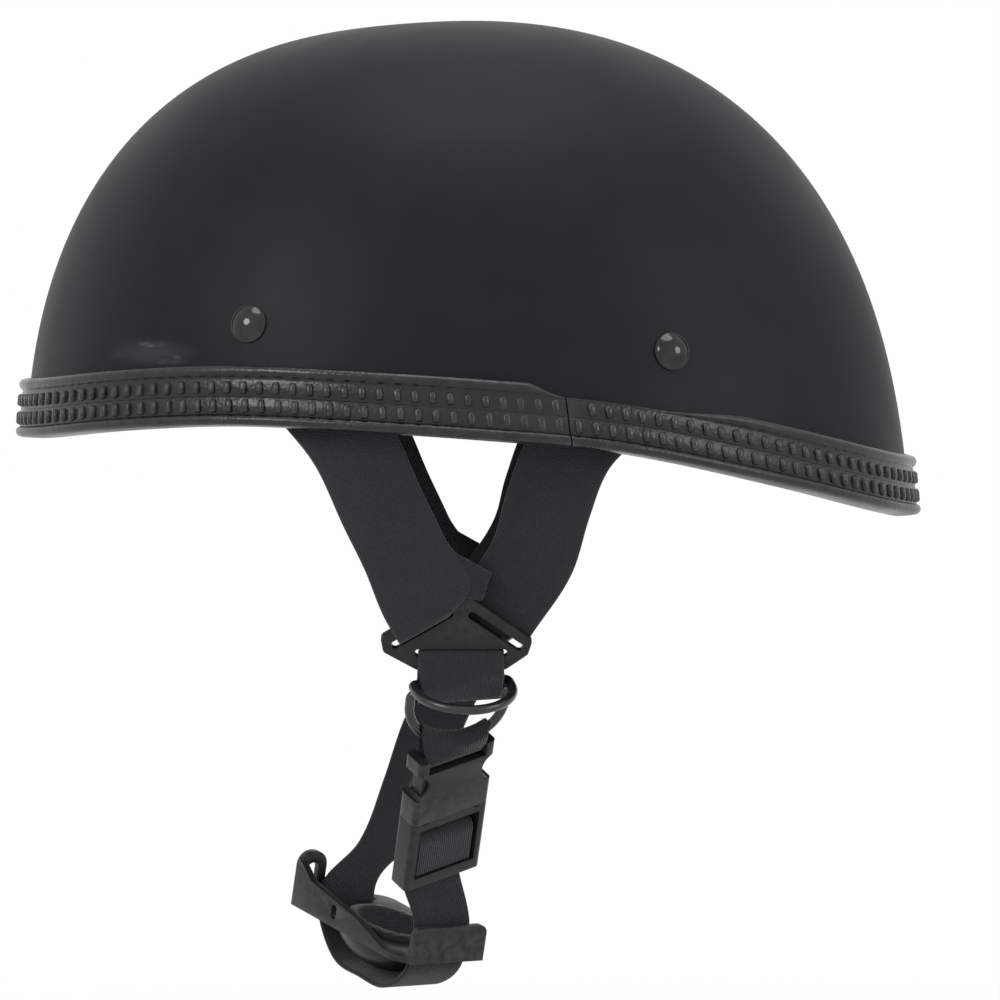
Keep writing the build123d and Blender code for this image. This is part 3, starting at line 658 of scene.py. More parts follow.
def bump(tree, shader, height, depth, strength=1.0, over=None):
    """Raises the surface by a height in metres, on top of another bump if one is given."""
    inputs = {"Height": height, "Distance": depth, "Strength": strength}
    if over is not None:
        inputs["Normal"] = over
    made = add_node(tree, "ShaderNodeBump", inputs).outputs["Normal"]
    tree.links.new(made, shader.inputs["Normal"])
    return made


def rough_between(tree, shader, mask, low, high):
    """Roughness that goes from low to high with a mask."""
    inputs = {"Value": mask, "To Min": low, "To Max": high}
    made = add_node(tree, "ShaderNodeMapRange", inputs, clamp=True)
    tree.links.new(made.outputs[0], shader.inputs["Roughness"])


def shade(colour, factor):
    """A colour made lighter or darker."""
    return tuple(min(1.0, channel * factor) for channel in colour)


def shell_paint(settings):
    """Matt black paint with a fine orange peel, soft smudges and a pale rub low on the front left."""
    made, tree, shader = finish("matt_black_paint", Specular_IOR_Level=0.12)
    grain = use_effect(tree, "grain", Scale=1500.0, Softness=0.25)
    marks = use_effect(tree, "marks", Scale=14.0)
    colour = colour_between(tree, grain["Mottle"], settings.paint, shade(settings.paint, 1.18))
    place = tree.nodes.new("ShaderNodeTexCoord").outputs["Object"]
    spot = add_node(tree, "ShaderNodeMapping", {
        "Vector": place,
        "Location": (-rub_mark_x / rub_mark_length, 0.0, -rub_mark_z / rub_mark_height),
        "Scale": (1 / rub_mark_length, 0.0, 1 / rub_mark_height),
    })
    far = add_node(tree, "ShaderNodeVectorMath", {0: spot.outputs[0]}, operation="LENGTH")
    side = add_node(tree, "ShaderNodeSeparateXYZ", {"Vector": place})
    near = graded(tree, calc(tree, "MULTIPLY", side.outputs["Y"], -1.0), *rub_mark_side)
    soft = calc(tree, "SUBTRACT", 1.0, graded(tree, far.outputs["Value"], low=0.3, high=1.6))
    broken = calc(tree, "ADD", marks["Rub"], 0.25)
    rub = calc(tree, "MULTIPLY", calc(tree, "MULTIPLY", soft, near), broken)
    faint = calc(tree, "MULTIPLY", rub, 0.5)
    tree.links.new(colour_on(tree, faint, colour, settings.rub), shader.inputs["Base Color"])
    rough_between(tree, shader, marks["Smudge"], settings.roughness, settings.roughness + 0.08)
    bump(tree, shader, grain["Height"], depth=0.03 * mm, strength=0.35)
    return made


def trim_vinyl(settings):
    """Embossed black vinyl with a leather grain; what stands proud is painted paler, partly polish from
    wear and partly a painted sheen.
    """
    made, tree, shader = finish("embossed_vinyl", Specular_IOR_Level=0.4)
    grain = use_effect(tree, "grain", Scale=760.0, Softness=0.9)
    wear_and_highlight = use_effect(tree, "wear_and_highlight", Reach=0.1, Break_up=260.0)
    marks = use_effect(tree, "marks", Scale=30.0)
    colour = colour_between(tree, grain["Mottle"], settings.vinyl, shade(settings.vinyl, 1.35))
    # Proud edges painted paler: partly polish from wear, partly a painted sheen where the lamps catch
    # them.
    faint = calc(tree, "MULTIPLY", wear_and_highlight["Mask"], 0.35)
    tree.links.new(colour_on(tree, faint, colour, settings.polish_and_sheen), shader.inputs["Base Color"])
    rough_between(tree, shader, marks["Smudge"], settings.roughness, settings.roughness + 0.14)
    bump(tree, shader, grain["Height"], depth=0.18 * mm, strength=0.5)
    return made


def webbing(name, colour, settings, lift=1.0):
    """Woven black webbing, with painted shade in the grooves of the weave and a painted highlight on the
    knuckles of the yarn, and worn at the selvage.
    """
    made, tree, shader = finish(
        name, Specular_IOR_Level=0.22, Sheen_Weight=0.25, Sheen_Roughness=0.45,
    )
    weave = use_effect(tree, "weave", Rib_pitch=settings.rib_pitch, Pick_pitch=settings.pick_pitch)
    marks = use_effect(tree, "marks", Scale=26.0)
    low, high, pale, dust = (shade(colour, factor * lift) for factor in (0.7, 1.2, 1.9, 2.4))
    # Painted shade and highlight: the weave's grooves darker and its raised knuckles lighter, from the
    # weave's height.
    yarn = colour_between(tree, weave["Height"], low, high)
    tinted = colour_on(tree, calc(tree, "MULTIPLY", weave["Thread"], 0.25), yarn, pale)
    dusty = calc(tree, "MULTIPLY", marks["Smudge"], 0.16)
    worn = calc(tree, "ADD", dusty, calc(tree, "MULTIPLY", weave["Selvage"], 0.12))
    tree.links.new(colour_on(tree, worn, tinted, dust), shader.inputs["Base Color"])
    rough_between(tree, shader, weave["Height"], low=0.86, high=0.68)
    bump(tree, shader, weave["Height"], depth=0.28 * mm, strength=0.8)
    return made


def nickel(settings):
    """Dark polished nickel with soft smudges and thin rubs."""
    made, tree, shader = finish("dark_nickel", Metallic=1.0)
    marks = use_effect(tree, "marks", Scale=160.0)
    grain = use_effect(tree, "grain", Scale=2200.0, Softness=0.2)
    colour = colour_between(tree, marks["Smudge"], settings.nickel, shade(settings.nickel, 0.72))
    tree.links.new(colour, shader.inputs["Base Color"])
    rough_between(tree, shader, marks["Rub"], low=0.1, high=0.26)
    bump(tree, shader, grain["Height"], depth=0.02 * mm, strength=0.25)
    return made


def enamel(settings):
    """Black enamel on bent wire, rubbed to bare metal in places."""
    made, tree, shader = finish(
        "black_enamel", Coat_Weight=0.25, Coat_Roughness=0.16, Specular_IOR_Level=0.4,
    )
    marks = use_effect(tree, "marks", Scale=120.0)
    grain = use_effect(tree, "grain", Scale=1300.0, Softness=0.4)
    colour = colour_between(tree, grain["Mottle"], settings.enamel, shade(settings.enamel, 1.6))
    faint = calc(tree, "MULTIPLY", marks["Rub"], 0.4)
    tree.links.new(colour_on(tree, faint, colour, settings.nickel), shader.inputs["Base Color"])
    rough_between(tree, shader, marks["Smudge"], low=0.24, high=0.42)
    bump(tree, shader, grain["Height"], depth=0.04 * mm, strength=0.4)
    return made


def plastic(name, colour, roughness, settings):
    """Moulded black plastic: fine spark grain, soft flow marks and edges painted paler, partly rubbed
    plastic and partly a painted highlight.
    """
    made, tree, shader = finish(name, Specular_IOR_Level=0.3)
    grain = use_effect(tree, "grain", Scale=2100.0, Softness=0.6)
    wear_and_highlight = use_effect(tree, "wear_and_highlight", Reach=0.09, Break_up=420.0)
    marks = use_effect(tree, "marks", Scale=60.0)
    base = colour_between(tree, grain["Mottle"], colour, shade(colour, 1.3))
    # Convex edges painted paler: partly rubbed plastic, partly a painted highlight on the edges.
    faint = calc(tree, "MULTIPLY", wear_and_highlight["Mask"], 0.3)
    tree.links.new(colour_on(tree, faint, base, settings.rubbed), shader.inputs["Base Color"])
    rough_between(tree, shader, marks["Smudge"], roughness, roughness + 0.12)
    bump(tree, shader, grain["Height"], depth=0.05 * mm, strength=0.4)
    return made


def liner_foam(settings):
    """Expanded black foam: pressed beads, with painted shade darkening the creases between them."""
    made, tree, shader = finish("bead_foam", Specular_IOR_Level=0.3)
    place = tree.nodes.new("ShaderNodeTexCoord").outputs["Object"]
    inputs = {"Vector": place, "Scale": 270.0}
    beads = add_node(tree, "ShaderNodeTexVoronoi", inputs, feature="DISTANCE_TO_EDGE")
    tint = add_node(tree, "ShaderNodeTexVoronoi", inputs)
    crease = graded(tree, beads.outputs["Distance"], low=0.0, high=0.16)
    # Painted shade: the creases between the beads are darkened.
    colour = colour_between(tree, crease, shade(settings.foam, 0.45), settings.foam)
    parts = add_node(tree, "ShaderNodeSeparateColor", {"Color": tint.outputs["Color"]})
    pale = calc(tree, "MULTIPLY", parts.outputs[0], 0.3)
    tree.links.new(colour_on(tree, pale, colour, shade(settings.foam, 1.8)), shader.inputs["Base Color"])
    rough_between(tree, shader, crease, low=0.9, high=0.62)
    bump(tree, shader, crease, depth=0.35 * mm, strength=0.8)
    return made


def pad_cloth(name, colour, scale):
    """Brushed knit over soft foam: small loops in rows, painted darker between the loops as shade and
    lighter on them as highlight, pilled and a little dusty.
    """
    made, tree, shader = finish(name, Specular_IOR_Level=0.2, Sheen_Weight=0.35, Sheen_Roughness=0.5)
    place = tree.nodes.new("ShaderNodeTexCoord").outputs["Object"]
    loops = add_node(tree, "ShaderNodeTexVoronoi", {"Vector": place, "Scale": scale, "Randomness": 0.35})
    fuzz = add_node(tree, "ShaderNodeTexNoise", {"Vector": place, "Scale": scale * 0.3, "Detail": 8.0})
    marks = use_effect(tree, "marks", Scale=40.0)
    loop = calc(tree, "SUBTRACT", 1.0, graded(tree, loops.outputs["Distance"], low=0.1, high=0.75))
    # Painted shade and highlight: darker between the loops, lighter on the loops.
    knit = colour_between(tree, loop, shade(colour, 0.5), shade(colour, 1.25))
    dusty = calc(tree, "MULTIPLY", marks["Smudge"], 0.25)
    tree.links.new(colour_on(tree, dusty, knit, shade(colour, 2.2)), shader.inputs["Base Color"])
    rough_between(tree, shader, fuzz.outputs["Fac"], low=0.8, high=0.98)
    lay = bump(tree, shader, fuzz.outputs["Fac"], depth=0.6 * mm, strength=0.35)
    bump(tree, shader, loop, depth=0.3 * mm, strength=0.6, over=lay)
    return made


# Settings

class HelmetShellSettings(bpy.types.PropertyGroup):
    """Paint and mesh of the shell"""

    paint: FloatVectorProperty(
        name="Paint", description="Colour of the matt paint", subtype="COLOR", size=3, min=0, max=1,
        default=(0.0095, 0.009, 0.0115),
    )
    rub: FloatVectorProperty(
        name="Rub mark", description="Colour of the pale rub on the paint", subtype="COLOR", size=3,
        min=0, max=1, default=(0.2, 0.2, 0.215),
    )
    roughness: FloatProperty(
        name="Roughness", description="How matt the paint is", default=0.46, min=0, max=1,
    )
    columns: IntProperty(
        name="Columns", description="Faces round the shell", default=192, min=48, max=512,
    )
    rows: IntProperty(name="Rows", description="Faces from crown to rim", default=56, min=12, max=200)


class HelmetTrimSettings(bpy.types.PropertyGroup):
    """Embossed edge trim"""

    vinyl: FloatVectorProperty(
        name="Vinyl", description="Colour of the trim", subtype="COLOR", size=3, min=0, max=1,
        default=(0.0045, 0.0043, 0.0055),
    )
    # Paler colour of the proud edges: partly polish from wear, partly a painted sheen.
    polish_and_sheen: FloatVectorProperty(
        name="Polish", description="Colour of what is rubbed smooth", subtype="COLOR", size=3,
        min=0, max=1, default=(0.09, 0.09, 0.1),
    )
    roughness: FloatProperty(
        name="Roughness", description="How dull the vinyl is", default=0.26, min=0, max=1,
    )
    pitch: FloatProperty(
        name="Pitch", description="Distance from dash to dash", default=5.0 * mm, unit="LENGTH",
    )
    dash_width: FloatProperty(
        name="Dash width", description="Width of a raised dash", default=2.3 * mm, unit="LENGTH",
    )
    dash_proud: FloatProperty(
        name="Dash height", description="How far a dash stands proud", default=1.1 * mm, unit="LENGTH",
    )
    step: FloatProperty(
        name="Step", description="Length of one face along the rim", default=2.5 * mm, unit="LENGTH",
    )


class HelmetWebSettings(bpy.types.PropertyGroup):
    """Webbing of the straps"""

    front: FloatVectorProperty(
        name="Front leg", description="Colour of the lighter webbing", subtype="COLOR", size=3,
        min=0, max=1, default=(0.0185, 0.018, 0.022),
    )
    rear: FloatVectorProperty(
        name="Other webs", description="Colour of the darker webbing", subtype="COLOR", size=3,
        min=0, max=1, default=(0.015, 0.0147, 0.0175),
    )
    rib_pitch: FloatProperty(
        name="Rib pitch", description="Distance from rib to rib", default=0.75 * mm, unit="LENGTH",
    )
    pick_pitch: FloatProperty(
        name="Pick pitch", description="Distance from pick to pick", default=1.25 * mm, unit="LENGTH",
    )


class HelmetHardwareSettings(bpy.types.PropertyGroup):
    """Rivets, rings, dividers, buckle and cup"""

    nickel: FloatVectorProperty(
        name="Nickel", description="Colour of the rivets", subtype="COLOR", size=3, min=0, max=1,
        default=(0.05, 0.049, 0.048),
    )
    enamel: FloatVectorProperty(
        name="Enamel", description="Colour of the rings", subtype="COLOR", size=3, min=0, max=1,
        default=(0.010, 0.010, 0.012),
    )
    buckle: FloatVectorProperty(
        name="Buckle", description="Colour of the buckle", subtype="COLOR", size=3, min=0, max=1,
        default=(0.0095, 0.009, 0.0105),
    )
    divider: FloatVectorProperty(
        name="Divider", description="Colour of the dividers", subtype="COLOR", size=3, min=0, max=1,
        default=(0.007, 0.007, 0.0085),
    )
    cup: FloatVectorProperty(
        name="Cup", description="Colour of the chin cup", subtype="COLOR", size=3, min=0, max=1,
        default=(0.009, 0.0088, 0.0105),
    )
    # Colour of the pale edges: partly worn plastic, partly a painted highlight.
    rubbed: FloatVectorProperty(
        name="Rubbed plastic", description="Colour of worn edges", subtype="COLOR", size=3, min=0,
        max=1, default=(0.11, 0.11, 0.115),
    )
    edge: FloatProperty(
        name="Edge", description="Radius of the moulded edges", default=0.45 * mm, unit="LENGTH",
    )


class HelmetPadSettings(bpy.types.PropertyGroup):
    """Foam liner and pads"""

    foam: FloatVectorProperty(
        name="Foam", description="Colour of the liner", subtype="COLOR", size=3, min=0, max=1,
        default=(0.03, 0.03, 0.033),
    )
    cloth: FloatVectorProperty(
        name="Cloth", description="Colour of the pads", subtype="COLOR", size=3, min=0, max=1,
        default=(0.028, 0.028, 0.032),
    )
    pressure: FloatProperty(name="Pressure", description="How hard the pads swell", default=4.0)
    voxel: FloatProperty(
        name="Voxel", description="Mesh size of a pad while it swells", default=3.0 * mm, unit="LENGTH",
    )
    cap: FloatProperty(
        name="Cap", description="How far a point of a pad may move", default=2.4 * mm, unit="LENGTH",
    )


class HelmetStageSettings(bpy.types.PropertyGroup):
    """Camera, floor and light"""

    distance: FloatProperty(
        name="Distance", description="From the camera to the helmet", default=2.2, unit="LENGTH",
    )
    elevation: FloatProperty(
        name="Elevation", description="How far the camera looks down", default=radians(1.75),
        subtype="ANGLE",
    )
    view_width: FloatProperty(
        name="View width", description="Width that the picture takes in at the helmet",
        default=297.6 * mm, unit="LENGTH",
    )
    aim: FloatVectorProperty(
        name="Aim", description="What the camera looks at", size=3, unit="LENGTH",
        default=(9.2 * mm, 0.0, -17.9 * mm),
    )
    sky: FloatProperty(name="Sky", description="Strength of the room's light", default=0.42)
    key: FloatProperty(name="Key", description="Power of the main lamp", default=17.5, unit="POWER")


# Shell and trim

class HELMET_OT_shell(bpy.types.Operator):
    """Build the painted shell"""

    bl_idname = "helmet.shell"
    bl_label = "Shell"

    def execute(self, context):
        settings = context.scene.helmet_shell
        bm = bmesh.new()
        spoke = [bm.verts.new((row / settings.rows, 0, 0)) for row in range(settings.rows + 1)]
        edges = [bm.edges.new(pair) for pair in zip(spoke, spoke[1:])]
        bmesh.ops.spin(
            bm, geom=spoke + edges, cent=(0, 0, 0), axis=(0, 0, 1), angle=2 * pi,
            steps=settings.columns, use_merge=True,
        )
        bmesh.ops.remove_doubles(bm, verts=bm.verts, dist=1e-6)
        rims = {}
        for vert in bm.verts:
            share = hypot(vert.co.x, vert.co.y)
            plan = atan2(vert.co.y, vert.co.x)
            key = round(plan, 4)
            if key not in rims:
                rims[key] = angle_at_rise(plan, shell_edge_rise)
            vert.co = shell_place(plan, pi / 2 + (rims[key] - pi / 2) * share)
        shell = piece(
            bm, "painted_shell", shell_paint(settings), "helmet", "shell_paint", "outer_shell", sharp=60,
        )
        wall = shell.modifiers.new("Wall", "SOLIDIFY")
        wall.thickness = shell_wall
        wall.offset = -1
        wall.use_even_offset = True
        return {"FINISHED"}


def rim_stations(step):
    """Places round the rim from just left of the trim's joint to just right of it, going by the front.

    Each is its distance along the rim, its way along and three points up the shell's face.
    """
    start = next(
        a for a in (2 * pi - turn * rim_search_turn for turn in range(1, rim_search_steps))
        if shell_place(a, angle_at_rise(a, 0)).x < trim_joint_x
    )
    fine = []
    for index in range(rim_fine_steps + 1):
        plan = start - 2 * pi * index / rim_fine_steps
        fine.append((plan, shell_place(plan, angle_at_rise(plan, 0))))
    lengths = lengths_along([point for _, point in fine])
    total = lengths[-1] - trim_joint_gap
    count = round(total / step)
    stations = []
    index = 0
    for number in range(count + 1):
        wanted = trim_joint_gap / 2 + total * number / count
        while index < len(lengths) - 2 and lengths[index + 1] < wanted:
            index += 1
        share = (wanted - lengths[index]) / (lengths[index + 1] - lengths[index])
        plan = fine[index][0] + (fine[index + 1][0] - fine[index][0]) * share
        along = (fine[index + 1][1] - fine[index][1]).normalized()
        rises = (0.0, trim_rise_step, 2 * trim_rise_step)
        face = [shell_place(plan, angle_at_rise(plan, rise)) for rise in rises]
        stations.append((wanted - trim_joint_gap / 2, along, face))
    return stations, total


def trim_place(station, out, rise):
    """A point of the trim, from its distance out of the shell's face and its rise above the rim."""
    _, along, (foot, middle, top) = station
    t = rise / trim_rise_step
    if t >= 0:
        point = foot * ((t - 1) * (t - 2) / 2) + middle * (t * (2 - t)) + top * (t * (t - 1) / 2)
    else:
        point = foot + (middle - foot) * t
    up = (middle - foot).normalized() if t < 1 else (top - middle).normalized()
    return point + up.cross(along).normalized() * out


def bead_share(distance, total):
    """How much of the top bead stands: it dies at the joint and is pressed flat right of it."""
    left = min(1.0, distance / bead_rise_left)
    right = min(1.0, max(0.0, (total - distance - bead_flat_right) / bead_rise_right))
    share = min(left, right)
    return share * share * (3 - 2 * share)


def emboss_share(distance, total):
    """How high the dashes stand: they fade towards the joint from the left."""
    left = min(1.0, max(emboss_least_share, distance / emboss_fade))
    return left if distance < total / 2 else 1.0


class HELMET_OT_trim(bpy.types.Operator):
    """Build the embossed edge trim"""

    bl_idname = "helmet.trim"
    bl_label = "Edge trim"

    def execute(self, context):
        settings = context.scene.helmet_trim
        stations, total = rim_stations(settings.step)
        bm = bmesh.new()
        rows = []
        for station in stations:
            share = bead_share(station[0], total)
            row = []
            for out, rise in trim_face_outline:
                stands = bead_flat_share + (1 - bead_flat_share) * share
                rise = trim_bead_foot + (rise - trim_bead_foot) * stands
                bulge = max(out - trim_bead_out, 0.0) * (1 - share)
                row.append(trim_place(station, (out - bulge) * mm, rise * mm))
            row += [trim_place(station, out * mm, rise * mm) for out, rise in trim_wall_outline]
            rows.append(row)
        outline = trim_face_outline + trim_wall_outline
        across = lengths_along([Vector(place) * mm for place in outline + outline[:1]])
        tube(bm, rows, across, [station[0] for station in stations])
        self.dashes(bm, stations, total, settings)
        vinyl = trim_vinyl(settings)
        piece(bm, "embossed_edge_trim", vinyl, "helmet", "trim_vinyl", "edge_trim", sharp=50)
        return {"FINISHED"}

    def dashes(self, bm, stations, total, settings):
        """Two rows of raised dashes round the trim."""
        half = total / 2
        count = int(total / settings.pitch)
        for centre, length, shift in dash_rows:
            for number in range(count):
                distance = (number + 0.5) * total / count + shift
                if distance > total - settings.pitch / 2:
                    continue
                index = min(int(distance / total * (len(stations) - 1)), len(stations) - 2)
                station = stations[index]
                slide = station[1] * (distance - station[0])
                proud = settings.dash_proud * emboss_share(distance, total)
                if distance > half:
                    proud *= dash_right_share
                place = trim_place(station, trim_face_out, centre) + slide
                above = trim_place(station, trim_face_out, centre + mm) + slide
                up = (above - place).normalized()
                out = (trim_place(station, trim_face_out + mm, centre) + slide - place).normalized()
                turned = axes(place, up.cross(out), out)
                size = Matrix.Diagonal((settings.dash_width, length, 2 * proud, 1))
                made = bmesh.ops.create_cube(bm, size=1, matrix=turned @ size)["verts"]
                outer = [v for v in made if (v.co - place).dot(out) > 0]
                top = sum((v.co for v in outer), Vector()) / len(outer)
                for vert in outer:
                    vert.co = top + (vert.co - top) * dash_top_share
                edges = list({edge for vert in made for edge in vert.link_edges})
                bmesh.ops.bevel(
                    bm, geom=edges, offset=dash_edge, offset_type="OFFSET", segments=1, profile=0.5,
                    affect="EDGES", clamp_overlap=True, material=-1,
                )


# Rivets

def turned(profile, places, steps=48):
    """A round piece spun from its profile of radius and height, once in each place."""
    bm = bmesh.new()
    verts = [bm.verts.new((radius, 0, height)) for radius, height in profile]
    edges = [bm.edges.new(pair) for pair in zip(verts, verts[1:])]
    bmesh.ops.spin(
        bm, geom=verts + edges, cent=(0, 0, 0), axis=(0, 0, 1), angle=2 * pi, steps=steps,
        use_merge=True,
    )
    bmesh.ops.remove_doubles(bm, verts=bm.verts, dist=1e-7)
    first = list(bm.verts)
    whole = first + list(bm.edges) + list(bm.faces)
    for place in places[1:]:
        made = bmesh.ops.duplicate(bm, geom=whole)["geom"]
        copies = [part for part in made if isinstance(part, bmesh.types.BMVert)]
        bmesh.ops.transform(bm, matrix=place, verts=copies)
    bmesh.ops.transform(bm, matrix=places[0], verts=first)
    return bm


def rivet_profile():
    """Half outline of a rivet: domed head with a rolled edge, shank and spread tail."""
    ball = (rivet_head_radius ** 2 + rivet_head_height ** 2) / (2 * rivet_head_height)
    edge = rivet_dome_share * rivet_head_radius
    widest = atan2(edge, sqrt(ball ** 2 - edge ** 2))
    dome = []
    for step in range(rivet_dome_steps + 1):
        angle = widest * step / rivet_dome_steps
        dome.append((ball * sin(angle), rivet_seat + rivet_head_height - ball * (1 - cos(angle))))
    lip = [(share * rivet_head_radius, rivet_seat + rise * mm) for share, rise in rivet_lip_outline]
    foot = -(strap_depth_at_rivet + web_thickness / 2 + rivet_tail_reach)
    tail = [(radius * mm, foot + rise * mm) for radius, rise in rivet_tail_outline]
    shank = [(rivet_shank_radius, rivet_seat), (rivet_shank_radius, tail[0][1])]
    return dome + lip + shank + tail


class HELMET_OT_rivets(bpy.types.Operator):
    """Build the domed rivets and the washers under them"""

    bl_idname = "helmet.rivets"
    bl_label = "Rivets"

    def execute(self, context):
        settings = context.scene.helmet_hardware
        metal = nickel(settings)
        top = -(strap_depth_at_rivet + web_thickness / 2 + rivet_seat)
        foot = top - washer_thickness
        inner, outer = rivet_shank_radius + rivet_seat, washer_radius
        shoulder = outer - washer_chamfer
        ring = [
            (inner, top), (shoulder, top), (outer, top - washer_chamfer),
            (outer, foot + washer_chamfer), (shoulder, foot), (inner, foot), (inner, top),
        ]
        places = [
            facing(*shell_point(x, z, side, 0)) for side in (-1, 1) for x, z in zip(rivet_x, rivet_z)
        ]
        heads = turned(rivet_profile(), places)
        washers = turned(ring, places, steps=40)
        piece(heads, "domed_rivets", metal, "helmet", "rivet_metal", "strap_rivets", sharp=50)
        piece(washers, "strap_washers", metal, "helmet", "rivet_metal", "rivet_washers", sharp=50)
        return {"FINISHED"}


# Straps

def in_hang(share_x, share_y, out):
    """A place in the left strap's plane, from shares of the web's width."""
    return hang @ Vector((share_x * web_width, share_y * web_width, out))


def leg_controls(rivet, leg_shares, out):
    """Control rows of a leg, from above its rivet down to the strap's plane and along it."""
    points = [in_hang(x, y, out) for x, y in leg_shares]
    exit_point = points[0]
    low_x = rivet[0] + (exit_point.x - rivet[0]) * leg_bend_share
    low_z = rivet[1] + (exit_point.z - rivet[1]) * leg_bend_share
    top, top_normal = shell_point(*rivet, -1, strap_depth_at_rivet)
    low, low_normal = shell_point(low_x, low_z, -1, strap_depth_at_trim)
    chord = low - top
    start = (chord - top_normal * chord.dot(top_normal)).normalized()
    plane_out = (hang.to_3x3() @ Vector((0, 0, 1))).normalized()
    centres = [top - start * strap_past_rivet, top, top + start * strap_clamp, low, *points]
    normals = [top_normal, top_normal, top_normal, low_normal] + [plane_out] * len(points)
    rows = []
    for index, (centre, normal) in enumerate(zip(centres, normals)):
        before, after = max(index - 1, 0), min(index + 1, len(centres) - 1)
        run = (centres[after] - centres[before]).normalized()
        outward = (normal - run * normal.dot(run)).normalized()
        rows.append((centre, outward.cross(run) * (web_width / 2)))
    return rows


def web_patch(shares, out):
    """A cut piece of web lying in the strap's plane, with its UVs in metres."""
    bm = bmesh.new()
    uv = bm.loops.layers.uv.verify()
    half = web_thickness / 2
    corners = [bm.verts.new((x * web_width, y * web_width, out - half)) for x, y in shares]
    face = bm.faces.new(corners)
    made = bmesh.ops.extrude_face_region(bm, geom=[face])["geom"]
    upper = [part for part in made if isinstance(part, bmesh.types.BMVert)]
    bmesh.ops.translate(bm, verts=upper, vec=(0, 0, web_thickness))
    for face in bm.faces:
        for loop in face.loops:
            loop[uv].uv = loop.vert.co.xy
    bmesh.ops.bevel(
        bm, geom=bm.edges, offset=patch_edge, offset_type="OFFSET", segments=2, profile=0.5,
        affect="EDGES", clamp_overlap=True, material=-1,
    )
    bmesh.ops.transform(bm, matrix=hang, verts=bm.verts)
    return bm


class HELMET_OT_y_straps(bpy.types.Operator):
    """Build both Y straps of webbing"""

    bl_idname = "helmet.y_straps"
    bl_label = "Y straps"

    def execute(self, context):
        settings = context.scene.helmet_web
        slot_start, slot_end = (Vector((x, y, 0)) * web_width for x, y in front_slot_shares)
        slot_middle = (slot_start + slot_end) / 2
        slot_edge = hang.to_3x3() @ ((slot_end - slot_start) * slot_web_share)
        front = leg_controls((rivet_x[0], rivet_z[0]), front_leg_shares, strap_offset)
        if slot_edge.dot(front[-1][1]) < 0:
            slot_edge = -slot_edge
        above = hang @ (slot_middle + Vector((*slot_above, strap_offset)))
        front.append((above, front[-1][1].lerp(slot_edge, slot_turn_share)))
        for out in slot_depths:
            front.append((hang @ (slot_middle + Vector((0, 0, out))), slot_edge))
        behind = slot_middle + Vector((*slot_behind, -strap_offset))
        front.append((hang @ behind, slot_edge))
        rear = leg_controls((rivet_x[1], rivet_z[1]), rear_leg_shares, -strap_offset)
        light = webbing("light_webbing", settings.front, settings)
        dark = webbing("dark_webbing", settings.rear, settings)
        legs = []
        for controls in (front, rear):
            bm = bmesh.new()
            web(bm, smooth_rows(controls), web_width, web_thickness)
            legs.append(bm)
        patches = web_patch(crotch_shares, strap_offset - patch_drop)
        back = web_patch(back_web_shares, -strap_offset - patch_drop)
        table = (("left", "left_y_strap", lambda bm: bm), ("right", "right_y_strap", mirrored))
        for side, node, turn in table:
            for label, bm, finish_of in (
                ("front_leg", legs[0], light), ("rear_leg", legs[1], dark),
                ("crotch_patch", patches, dark), ("back_web", back, dark),
            ):
                made = turn(bm.copy())
                piece(made, f"{side}_{label}", finish_of, "helmet", "webbing", node, sharp=60)
        return {"FINISHED"}


class HELMET_OT_dividers(bpy.types.Operator):
    """Build the two strap dividers"""

    bl_idname = "helmet.dividers"
    bl_label = "Strap dividers"

    def execute(self, context):
        settings = context.scene.helmet_hardware
        material = plastic("divider_plastic_moulded", settings.divider, 0.4, settings)
        for side in ("left", "right"):
            node = f"{side}_strap_divider"
            bm = softened(node, divider_edge_share * settings.edge, segments=3)
            piece(bm, f"{side}_divider_moulding", material, "helmet", "divider_plastic", node)
        return {"FINISHED"}


def d_ring_path():
    """Centre line of a D ring that hangs from the middle of its bar: bar along x, arc below."""
    corner = ring_corner
    bar_end = ring_radius - corner
    path = [(bar_end * (step / 4 - 1), 0) for step in range(9)]
    for step in range(1, 5):
        angle = pi / 2 * step / 4
        path.append((bar_end + corner * sin(angle), corner * cos(angle) - corner))
    for step in range(1, 32):
        angle = pi * step / 32
        path.append((ring_radius * cos(angle), -ring_leg - ring_radius * sin(angle)))
    for step in range(4):
        angle = pi / 2 * (4 - step) / 4
        path.append((-bar_end - corner * sin(angle), corner * cos(angle) - corner))
    return [Vector((x, 0, z)) for x, z in path]


